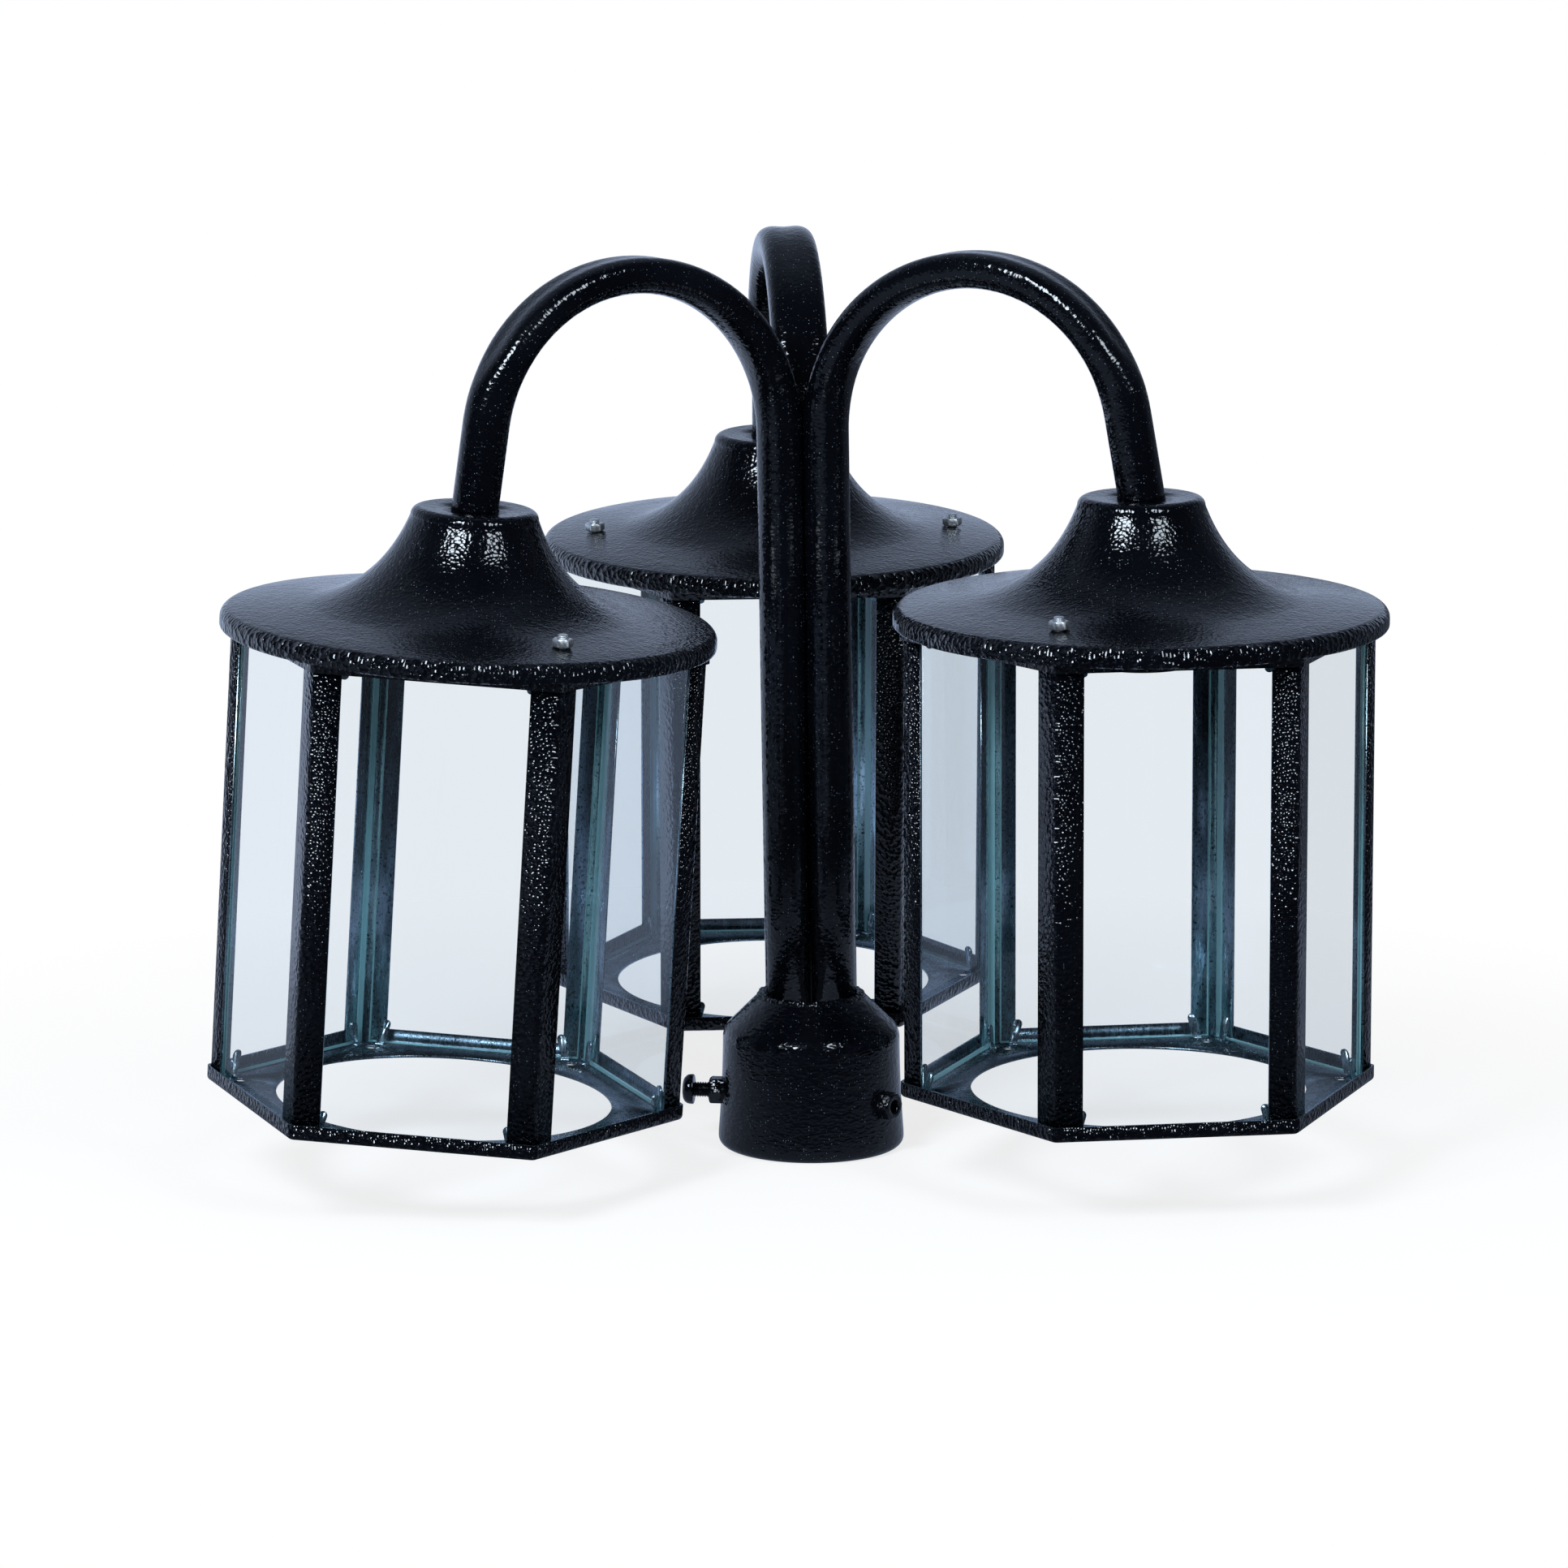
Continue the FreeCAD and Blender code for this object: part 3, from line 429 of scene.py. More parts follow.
@dataclass(frozen=True)
class Palette:
    """Every finish of the light, built once."""

    lid: Material
    hem: Material
    tube: Material
    sheet: Material
    cast: Material
    weld: Material
    fastener: Material
    inside: Material
    tray: Material
    zinc: Material
    clear: Material
    edge: Material
    resin: Material
    brass: Material

    @classmethod
    def mix(cls) -> "Palette":
        """Build all finishes.

        Returns:
            The palette.
        """
        finishes = {
            "lid": HammertonePaint("paint_on_lids", peel_slope=0.10),
            "hem": HammertonePaint("paint_on_hems", peel_size=0.0021, peel_slope=0.40,
                                   roughness=(0.04, 0.11)),
            "tube": HammertonePaint("paint_on_tubes", peel_slope=0.07),
            "sheet": HammertonePaint("paint_on_sheet", peel_size=0.0018, peel_slope=0.42),
            "cast": HammertonePaint("paint_on_collar", peel_size=0.0020, peel_slope=0.05,
                                    stretch=(1.0, 1.0, 1.9)),
            "weld": HammertonePaint("paint_on_weld", peel_size=0.0018, peel_slope=0.60),
            "fastener": HammertonePaint("paint_on_screws", peel_size=0.0012, peel_slope=0.10,
                                        roughness=(0.05, 0.12)),
            "inside": ZincPlate("zinc_sheet"),
            "tray": ZincPlate("zinc_tray", bright=(0.27, 0.35, 0.40), dull=(0.11, 0.16, 0.19)),
            "zinc": ZincPlate("bright_zinc", overspray=False, roughness=(0.36, 0.54),
                              streak=(1.0, 1.0, 1.0), bright=(0.93, 0.95, 0.97),
                              dull=(0.72, 0.76, 0.80)),
            "clear": ClearGlass("pane_glass"),
            "edge": GlassEdge("pane_edge"),
            "resin": MouldedResin("holder_resin"),
            "brass": Brass("contact_brass"),
        }
        return cls(**{part: finish.build() for part, finish in finishes.items()})


# ---------------------------------------------------------------- mesh tools
def moved(x: float = 0.0, y: float = 0.0, z: float = 0.0) -> Matrix:
    """Move along the axes."""
    return Matrix.Translation((x, y, z))


def turned(angle: float, axis: str = "Z") -> Matrix:
    """Turn about an axis through the origin."""
    return Matrix.Rotation(angle, 4, axis)


def polar(angle: float) -> Vector:
    """Level unit vector at an angle from X."""
    return Vector((math.cos(angle), math.sin(angle), 0.0))


def verts_of(geometry: Iterable[object]) -> list[BMVert]:
    """Pick the vertices out of an operator's result."""
    return [item for item in geometry if isinstance(item, BMVert)]


def loop_of(verts: Iterable[BMVert]) -> list[BMEdge]:
    """Find the edges that join some vertices.

    Args:
        verts: the vertices.

    Returns:
        Their edges, in a fixed order.
    """
    members = dict.fromkeys(verts)
    edges = dict.fromkeys(edge for vert in members for edge in vert.link_edges)
    return [edge for edge in edges if edge.verts[0] in members and edge.verts[1] in members]


def ring(bm: BMesh, radius: float, segments: int, place: Matrix = IN_PLACE) -> list[BMVert]:
    """Add a placed circle of edges and return its vertices."""
    return bmesh.ops.create_circle(bm, cap_ends=False, radius=radius, segments=segments,
                                   matrix=place)["verts"]


def circle(bm: BMesh, radius: float, place: Matrix, segments: int) -> list[BMEdge]:
    """Add a placed circle of edges and return them."""
    return loop_of(ring(bm, radius, segments, place))


def chain(bm: BMesh, outline: Sequence[Span], closed: bool = False) -> list[BMVert]:
    """Draw an outline as edges in the XZ plane.

    Args:
        bm: the mesh to draw in.
        outline: points as radius and height.
        closed: whether the last point joins the first.

    Returns:
        The outline's vertices.
    """
    verts = [bm.verts.new((radius, 0.0, height)) for radius, height in outline]
    for pair in zip(verts, verts[1:]):
        bm.edges.new(pair)
    if closed:
        bm.edges.new((verts[-1], verts[0]))
    return verts


def cut_back(bm: BMesh, geometry: Sequence[BMVert | BMEdge], offset: float, segments: int,
             affect: str = "VERTICES") -> None:
    """Bevel corners or edges by an offset."""
    bmesh.ops.bevel(bm, geom=geometry, offset=offset, offset_type="OFFSET", segments=segments,
                    profile=0.5, affect=affect, material=-1)


def soften(bm: BMesh, vert: BMVert, radius: float, segments: int) -> None:
    """Round one corner of an outline.

    Args:
        bm: the mesh that holds the outline.
        vert: the corner, with two edges.
        radius: radius of the rounding.
        segments: how many edges the rounding gets.
    """
    arms = [edge.other_vert(vert).co - vert.co for edge in vert.link_edges]
    reach = radius / math.tan(arms[0].angle(arms[1]) / 2)
    cut_back(bm, [vert], reach, segments)


def spun(bm: BMesh, steps: int) -> BMesh:
    """Turn every edge of a mesh once round Z and close it.

    Args:
        bm: the mesh, which holds an outline.
        steps: how many steps the full turn gets.

    Returns:
        The same mesh.
    """
    bmesh.ops.spin(bm, geom=bm.verts[:] + bm.edges[:], cent=(0, 0, 0), axis=Z_AXIS,
                   angle=math.tau, steps=steps, use_merge=True)
    bmesh.ops.remove_doubles(bm, verts=bm.verts[:], dist=MERGE_WITHIN)
    bmesh.ops.recalc_face_normals(bm, faces=bm.faces[:])
    return bm


def pulled(bm: BMesh, edges: Sequence[BMEdge], way: Vector) -> None:
    """Draw edges out into faces along a way."""
    made = bmesh.ops.extrude_edge_only(bm, edges=edges)["geom"]
    bmesh.ops.translate(bm, vec=way, verts=verts_of(made))


def joined(bm: BMesh, loops: Sequence[list[BMEdge]], closed: bool = False) -> None:
    """Bridge each loop to the next one.

    Args:
        bm: the mesh that holds the loops.
        loops: the loops, in order.
        closed: whether the last loop is bridged to the first.
    """
    following = loops[1:] + loops[:1] if closed else loops[1:]
    for first, second in zip(loops, following):
        bmesh.ops.bridge_loops(bm, edges=first + second)


def hex_loop(bm: BMesh, apothem: float, corner: float, height: float,
             steps: int = 5) -> list[BMEdge]:
    """Add a hexagon with rounded corners, one of them on +X.

    Args:
        bm: the mesh to draw in.
        apothem: distance from the axis to a side.
        corner: radius of the corners.
        height: height of the hexagon.
        steps: how many edges a corner gets.

    Returns:
        The hexagon's edges.
    """
    made = ring(bm, apothem / COS_30, HEX_SIDES, moved(z=height) @ turned(HEX_STEP / 2))
    before = set(bm.verts) - set(made)
    cut_back(bm, made, corner * math.tan(HEX_STEP / 2), steps)
    return loop_of(vert for vert in bm.verts if vert not in before)


def copies_round(bm: BMesh, count: int) -> None:
    """Repeat what a mesh holds at equal turns round Z.

    Args:
        bm: the mesh.
        count: how many there are in the end.
    """
    geometry = bm.verts[:] + bm.edges[:] + bm.faces[:]
    for step in range(1, count):
        made = bmesh.ops.duplicate(bm, geom=geometry)["geom"]
        turn = Matrix.Rotation(math.tau * step / count, 3, "Z")
        bmesh.ops.rotate(bm, cent=(0, 0, 0), matrix=turn, verts=verts_of(made))


def mesh_from(name: str, bm: BMesh) -> bpy.types.Mesh:
    """Turn a bmesh into a named mesh.

    Args:
        name: the mesh's name.
        bm: the bmesh; it is freed.

    Returns:
        The mesh.
    """
    mesh = bpy.data.meshes.new(name)
    bm.to_mesh(mesh)
    bm.free()
    return mesh


def absorb(bm: BMesh, other: BMesh, place: Matrix = IN_PLACE) -> None:
    """Move another mesh's placed geometry into this one.

    Args:
        bm: the mesh that grows.
        other: the mesh that goes into it; it is freed.
        place: placement of the other mesh.
    """
    other.transform(place)
    carrier = mesh_from("carrier", other)
    bm.from_mesh(carrier)
    bpy.data.meshes.remove(carrier)


def new_object(name: str, data: bpy.types.ID) -> Object:
    """Add an object to the scene.

    Args:
        name: the object's name.
        data: its mesh, lamp or camera.

    Returns:
        The object.
    """
    made = bpy.data.objects.new(name, data)
    bpy.context.scene.collection.objects.link(made)
    return made


# -------------------------------------------------------------------- pieces
@dataclass
class Piece:
    """What a finished mesh is, where it goes and what it stands for."""

    name: str
    finishes: Sequence[Material]
    stands_for: Sequence[str]
    slot: Slot
    body: str = Body.FITTING.value
    place: Matrix = field(default_factory=IN_PLACE.copy)
    sheet: float = 0.0              # wall thickness added inward
    arris: float = 0.0              # width of the bevel on sharp edges

    def hand_over(self, bm: BMesh, outward: bool = False) -> Object:
        """Turn a bmesh into an object that rides its body.

        Args:
            bm: the piece in its own frame, in millimetres; it is freed.
            outward: whether the faces point outward already, as on a set of open sheets.

        Returns:
            The finished object.
        """
        bm.transform(INTO_METRES @ self.place)
        if not outward:
            bmesh.ops.recalc_face_normals(bm, faces=bm.faces[:])
        for face in bm.faces:
            face.smooth = True
        mesh = mesh_from(self.name, bm)
        for finish in self.finishes:
            mesh.materials.append(finish)
        mesh.set_sharp_from_angle(angle=SMOOTH_BELOW)
        piece = new_object(self.name, mesh)
        if self.sheet:
            self.thicken(piece)
        if self.arris:
            self.blunt(piece)
        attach(piece, self.body)
        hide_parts(*self.stands_for)
        log.info("%s: %d faces", self.name, len(mesh.polygons))
        return piece

    def thicken(self, piece: Object) -> None:
        """Give an open surface the thickness of its sheet, inward.

        Args:
            piece: the object; the inner face and the rim wear its last finish.
        """
        wall = piece.modifiers.new("sheet", "SOLIDIFY")
        wall.thickness = self.sheet * MM
        wall.offset = -1.0
        wall.use_even_offset = True
        wall.material_offset = len(self.finishes) - 1
        wall.material_offset_rim = len(self.finishes) - 1

    def blunt(self, piece: Object) -> None:
        """Bevel the sharp edges of a piece.

        Args:
            piece: the object.
        """
        bevel = piece.modifiers.new("arris", "BEVEL")
        bevel.width = self.arris * MM
        bevel.segments = ARRIS_STEPS
        bevel.limit_method = "ANGLE"
        bevel.angle_limit = SMOOTH_BELOW


def cut_away(piece: Object, cutter: BMesh, place: Matrix) -> None:
    """Cut a closed shape out of a piece, and keep the result as its mesh.

    Args:
        piece: the object to cut.
        cutter: the closed shape, in millimetres; it is freed.
        place: placement of the cutter.
    """
    bmesh.ops.recalc_face_normals(cutter, faces=cutter.faces[:])
    cutter.transform(INTO_METRES @ place)
    tool = new_object("cutter", mesh_from("cutter", cutter))
    cut = piece.modifiers.new("cut", "BOOLEAN")
    cut.operation = "DIFFERENCE"
    cut.solver = "EXACT"
    cut.object = tool
    graph = bpy.context.evaluated_depsgraph_get()
    result = bpy.data.meshes.new_from_object(piece.evaluated_get(graph))
    piece.modifiers.clear()
    spent = (piece.data, tool.data)
    piece.data = result
    result.name = piece.name
    bpy.data.objects.remove(tool)
    for mesh in spent:
        bpy.data.meshes.remove(mesh)
    result.set_sharp_from_angle(angle=SMOOTH_BELOW)


# ----------------------------------------------------------------- fasteners
@dataclass(frozen=True)
class Thread:
    """Threaded shank about Z, a closed spindle with a ring for each turn."""

    radius: float
    pitch: float
    low: float
    high: float
    segments: int = 20
    crest: Span = (0.35, 0.55)      # start and end of a crest, as shares of the pitch
    root: float = 0.95              # the root's place, as a share of the pitch
    root_depth: float = 0.5         # depths as shares of the pitch
    end_depth: Span = (0.6, 0.8)

    def build(self) -> BMesh:
        """Spin the shank's outline.

        Returns:
            The shank.
        """
        bm = bmesh.new()
        count = max(1, round((self.high - self.low) / self.pitch))
        step = (self.high - self.low) / count
        outline = [(0.0, self.low), (self.radius - self.pitch * self.end_depth[0], self.low)]
        for turn in range(count):
            outline += [(self.radius, self.low + (turn + share) * step) for share in self.crest]
            outline += [(self.radius - self.pitch * self.root_depth,
                         self.low + (turn + self.root) * step)]
        outline += [(self.radius - self.pitch * self.end_depth[1], self.high), (0.0, self.high)]
        chain(bm, outline)
        return spun(bm, self.segments)


@dataclass(frozen=True)
class Nut:
    """Hexagon nut about Z with chamfered faces."""

    flats: float
    bore: float
    low: float
    high: float
    chamfer: float
    foot: float = 0.93              # radius of the lower face, as a share of half the flats
    face: float = 0.97              # the same of the upper face
    mouth: float = 0.8              # depth of the bore's mouth, as a share of the chamfer
    segments: int = 24

    def hexagon(self, bm: BMesh, height: float) -> list[BMEdge]:
        """Add a hexagon of many vertices, so that it can be bridged to a circle.

        Args:
            bm: the mesh to draw in.
            height: height of the hexagon.

        Returns:
            The hexagon's edges.
        """
        verts = ring(bm, 1.0, self.segments)
        for vert in verts:
            angle = math.atan2(vert.co.y, vert.co.x)
            off_flat = (angle + HEX_STEP / 2) % HEX_STEP - HEX_STEP / 2
            vert.co = vert.co * (self.flats / 2 / math.cos(off_flat)) + Z_AXIS * height
        return loop_of(verts)

    def build(self) -> BMesh:
        """Bridge the nut's circles and hexagons.

        Returns:
            The nut.
        """
        bm = bmesh.new()
        mouth = self.chamfer * self.mouth
        joined(bm, [
            circle(bm, self.bore, moved(z=self.low), self.segments),
            circle(bm, self.flats / 2 * self.foot, moved(z=self.low), self.segments),
            self.hexagon(bm, self.low + self.chamfer),
            self.hexagon(bm, self.high - self.chamfer),
            circle(bm, self.flats / 2 * self.face, moved(z=self.high), self.segments),
            circle(bm, self.bore + mouth, moved(z=self.high), self.segments),
            circle(bm, self.bore, moved(z=self.high - mouth), self.segments),
        ], closed=True)
        return bm


@dataclass(frozen=True)
class PanHead:
    """Closed pan head about Z, flat below and domed above; shares are of its height."""

    radius: float
    low: float
    high: float
    crown: float = 0.96             # radius where the dome starts, as a share of the radius
    crown_drop: float = 0.12
    crown_round: float = 0.6
    crown_steps: int = 6
    foot_round: float = 0.1
    foot_steps: int = 2
    segments: int = 32

    def build(self) -> BMesh:
        """Spin the head's outline.

        Returns:
            The head.
        """
        bm = bmesh.new()
        rise = self.high - self.low
        crown = (self.radius * self.crown, self.high - rise * self.crown_drop)
        verts = chain(bm, [(0.0, self.low), (self.radius, self.low), crown, (0.0, self.high)])
        soften(bm, verts[2], rise * self.crown_round, self.crown_steps)
        soften(bm, verts[1], rise * self.foot_round, self.foot_steps)
        return spun(bm, self.segments)


# ---------------------------------------------------------------------- arms
@dataclass(frozen=True)
class TubeShape:
    """Sizes of the bent tubes and of their bundle."""

    diameter: float = 18.0
    wall: float = 1.5
    gap: float = 0.05
    radius_of_bend: float = 65.0
    sweep_deg: float = 170.0
    spring_height: float = 286.0
    foot_height: float = 52.3
    leg: float = 31.5
    inside_lid: float = 8.0
    thickness: float = 15.2
    width: float = 22.0
    dish: float = 1.3
    dish_focus: float = 4.0         # how closely the dish keeps to the middle
    round_deg: float = 7.0          # sweep at each end that stays round
    blend_deg: float = 20.0         # sweep from round to squashed
    power_thick: float = 0.72       # below 1 the squashed section is squarer than an ellipse
    power_wide: float = 0.86
    lean_left_deg: float = 0.9
    lean_back_deg: float = 1.1
    cone_top: float = 60.288
    segments: int = 48
    stem_shares: Triple = (0.0, 0.35, 0.7)      # stations of the stem, as shares of its run
    bend_stations: int = 68

    @property
    def pitch_radius(self) -> float:
        """Distance of a stem's axis from the bundle's."""
        return (self.diameter + self.gap) / math.sqrt(3)

    def up(self) -> Vector:
        """Find the way that the leaning bundle points.

        Returns:
            The unit vector along it.
        """
        left = math.tan(math.radians(self.lean_left_deg))
        back = math.tan(math.radians(self.lean_back_deg))
        return Vector((-left, back, 1.0)).normalized()

    def flat_share(self, sweep: float) -> float:
        """Tell how far the section has gone from round to squashed.

        Args:
            sweep: how far round the arch, in degrees.

        Returns:
            0 where the tube is round and 1 where it is squashed, with a smooth step between.
        """
        from_end = min(sweep, self.sweep_deg - sweep) - self.round_deg
        share = max(0.0, min(from_end / self.blend_deg, 1.0))
        return share * share * (3.0 - 2.0 * share)

    def section(self, angle: float, share: float) -> Vector:
        """Find a point of the section.

        Args:
            angle: angle from the outer side.
            share: how far the section has gone from round to squashed.

        Returns:
            The point, X to the outer side.
        """
        cosine, sine = math.cos(angle), math.sin(angle)
        thick = math.copysign(abs(cosine) ** self.power_thick, cosine) * self.thickness / 2
        wide = math.copysign(abs(sine) ** self.power_wide, sine) * self.width / 2
        if cosine > 0:
            thick -= self.dish * math.exp(-(self.dish_focus * wide / self.width) ** 2)
        radius = self.diameter / 2
        full = Vector((radius * cosine, radius * sine, 0.0))
        return full.lerp(Vector((thick, wide, 0.0)), share)


TUBE = TubeShape()


@dataclass(frozen=True)
class LanternSeat:
    """Where one lantern hangs, and how it and its arm are turned."""

    name: str
    stem_deg: float
    arm_deg: float
    lean_x_deg: float
    lean_y_deg: float
    turn_deg: float

    def outward(self) -> Vector:
        """Direction of the arm, square to the stems."""
        flat, up = polar(math.radians(self.arm_deg)), TUBE.up()
        return (flat - up * flat.dot(up)).normalized()

    def stem_point(self, height: float) -> Vector:
        """Point of the stem's axis, by its distance along the bundle from the cone."""
        foot = polar(math.radians(self.stem_deg)) * TUBE.pitch_radius
        return foot + Z_AXIS * TUBE.cone_top + TUBE.up() * (height - TUBE.cone_top)

    def station(self, sweep: float) -> Matrix:
        """Place a section on the arch.

        Args:
            sweep: how far round the arch, in degrees.

        Returns:
            The section's frame, X to the outer side and Z along the tube.
        """
        angle = math.radians(sweep)
        up, outward = TUBE.up(), self.outward()
        normal = up * math.sin(angle) - outward * math.cos(angle)
        travel = up * math.cos(angle) + outward * math.sin(angle)
        centre = self.stem_point(TUBE.spring_height) + (outward + normal) * TUBE.radius_of_bend
        frame_of = Matrix((normal, travel.cross(normal), travel)).transposed().to_4x4()
        frame_of.translation = centre
        return frame_of

    def slid(self, sweep: float, distance: float) -> Matrix:
        """The frame at a sweep, moved along the tube."""
        return self.station(sweep) @ moved(z=distance)

    def placement(self) -> Matrix:
        """Place the lantern, whose frame is at the lid's lower edge.

        Returns:
            The lantern's placement.
        """
        turn = (turned(math.radians(self.lean_y_deg), "Y")
                @ turned(math.radians(self.lean_x_deg), "X")
                @ turned(math.radians(self.turn_deg)))
        top = self.slid(TUBE.sweep_deg, TUBE.leg).translation
        return Matrix.Translation(top - turn.to_3x3() @ (Z_AXIS * LID_HEIGHT)) @ turn


@dataclass
class LanternPart:
    """What the sub-assemblies of one lantern share."""

    seat: LanternSeat
    palette: Palette

    def piece(self, name: str, node: str, finishes: Sequence[Material],
              slot: Slot = Slot.PAINT, sheet: float = 0.0) -> Piece:
        """Describe a piece that stands for one node of this lantern."""
        return Piece(f"{name}_{self.seat.name}", finishes, [f"{node}_{self.seat.name}"], slot,
                     place=self.seat.placement(), sheet=sheet)


@dataclass
class Arm(LanternPart):
    """One bent tube, round in its stem and leg and squashed in its arch."""

    def stations(self) -> list[tuple[Matrix, float]]:
        """Place the sections along the tube.

        Returns:
            Each section's frame, with the share of squash there.
        """
        stem = TUBE.foot_height - TUBE.spring_height
        found = [(self.seat.slid(0.0, stem * (1.0 - share)), 0.0) for share in TUBE.stem_shares]
        for step in range(TUBE.bend_stations + 1):
            sweep = TUBE.sweep_deg * step / TUBE.bend_stations
            found.append((self.seat.station(sweep), TUBE.flat_share(sweep)))
        for distance in (TUBE.leg / 2, TUBE.leg, TUBE.leg + TUBE.inside_lid):
            found.append((self.seat.slid(TUBE.sweep_deg, distance), 0.0))
        return found

    def build(self) -> None:
        """Loft the tube through its stations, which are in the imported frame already."""
        bm = bmesh.new()
        loops = []
        for place, share in self.stations():
            verts = ring(bm, 1.0, TUBE.segments)
            for vert in verts:
                vert.co = place @ TUBE.section(math.atan2(vert.co.y, vert.co.x), share)
            loops.append(loop_of(verts))
        joined(bm, loops)
        Piece(f"tube_arm_{self.seat.name}", [self.palette.tube], [f"arm_{self.seat.name}"],
              Slot.PAINT, sheet=TUBE.wall).hand_over(bm)


# ---------------------------------------------------------------------- lids
@dataclass
class Lid(LanternPart):
    """Spun bell on top of a lantern, with its two screws."""

    radius: float = 95.0
    sheet: float = 1.2
    neck_radius: float = 24.5
    skirt_height: float = 7.5
    edge_round: float = 4.0
    hem_round: float = 1.5
    hem_lip: float = 1.6
    brim_point: Span = (80.0, 9.35)
    flare_start: Span = (64.0, 11.0)
    flare_pole: Span = (36.0, 16.5)
    flare_end_below_top: float = 3.5
    flare_points: int = 26
    pole_pull: float = 2 / 3        # gives a cubic curve the shape of one with a single pole
    shoulder_round: float = 3.5
    shoulder_fit: float = 0.99      # keeps the rounding clear of the next point
    tube_hole_radius: float = 9.35
    plateau_dish: float = 0.6
    dish_point: Span = (0.75, 0.6)  # a point of the dish, as shares of the plateau and its depth
    steps: int = 144
    round_steps: int = 8
    screw_radius: float = 74.0
    nut_flats: float = 7.0
    nut_height: float = 3.2
    nut_chamfer: float = 0.45
    nut_turn: float = 0.6           # in radians
    screw_diameter: float = 4.0
    screw_pitch: float = 0.7
    screw_past_nut: float = 1.6
    head_diameter: float = 8.0
    head_height: float = 2.4
    head_seat: float = 4.4          # underside of the top frame

    def nut_seat(self) -> float:
        """Find where a nut rests on the sloping brim.

        Returns:
            Height of the brim under the inner side of a nut.
        """
        slope = (self.flare_start[1] - self.skirt_height) / (self.radius - self.flare_start[0])
        inner_side = self.screw_radius - self.nut_flats / 2 / COS_30
        return self.skirt_height + slope * (self.radius - inner_side)

    def flare(self) -> list[Span]:
        """Draw the bell's flare, from the brim up to the shoulder.

        Returns:
            Points as radius and height.
        """
        start, pole, end = (Vector((*point, 0.0)) for point in (
            self.flare_start, self.flare_pole,
            (self.neck_radius, LID_HEIGHT - self.flare_end_below_top)))
        curve = interpolate_bezier(start, start.lerp(pole, self.pole_pull),
                                   end.lerp(pole, self.pole_pull), end, self.flare_points)
        return [(point.x, point.y) for point in curve]

    def build_bell(self) -> None:
        """Spin the bell's outline and give it the thickness of its sheet."""
        bm = bmesh.new()
        plateau = self.neck_radius - self.shoulder_round
        outline = [(self.radius - self.hem_lip, 0.0), (self.radius, 0.0),
                   (self.radius, self.skirt_height), self.brim_point]
        outline += self.flare()
        outline += [(self.neck_radius, LID_HEIGHT), (plateau, LID_HEIGHT),
                    (plateau * self.dish_point[0],
                     LID_HEIGHT - self.plateau_dish * self.dish_point[1]),
                    (self.tube_hole_radius, LID_HEIGHT - self.plateau_dish)]
        verts = chain(bm, outline)
        hem, edge, shoulder = verts[1], verts[2], verts[-4]
        soften(bm, shoulder, self.shoulder_round * self.shoulder_fit, self.round_steps)
        soften(bm, edge, self.edge_round, self.round_steps)
        soften(bm, hem, self.hem_round, self.round_steps // 2)
        spun(bm, self.steps)
        for face in bm.faces:
            face.material_index = int(face.calc_center_median().z < self.skirt_height)
        self.piece("bell", "lid", [self.palette.lid, self.palette.hem],
                   sheet=self.sheet).hand_over(bm)

    def build_screws(self) -> None:
        """Two screws with their nuts on the brim, across the arm."""
        bm = bmesh.new()
        low = self.nut_seat()
        high = low + self.nut_height
        shank = self.screw_diameter / 2
        thread = Thread(shank, self.screw_pitch, self.head_seat, high + self.screw_past_nut)
        nut = Nut(self.nut_flats, shank, low, high, self.nut_chamfer)
        head = PanHead(self.head_diameter / 2, 0.0, self.head_height)
        across = math.radians(self.seat.arm_deg - self.seat.turn_deg) + QUARTER
        for step in range(2):
            part = thread.build()
            absorb(part, nut.build(), turned(self.nut_turn + step))
            absorb(part, head.build(), moved(z=self.head_seat) @ turned(HALF, "X"))
            absorb(bm, part, turned(across + step * HALF) @ moved(self.screw_radius))
        self.piece("lid_screws", "lid_fixings", [self.palette.zinc], Slot.ZINC).hand_over(bm)

    def build(self) -> None:
        """Make every piece of the lid."""
        self.build_bell()
        self.build_screws()


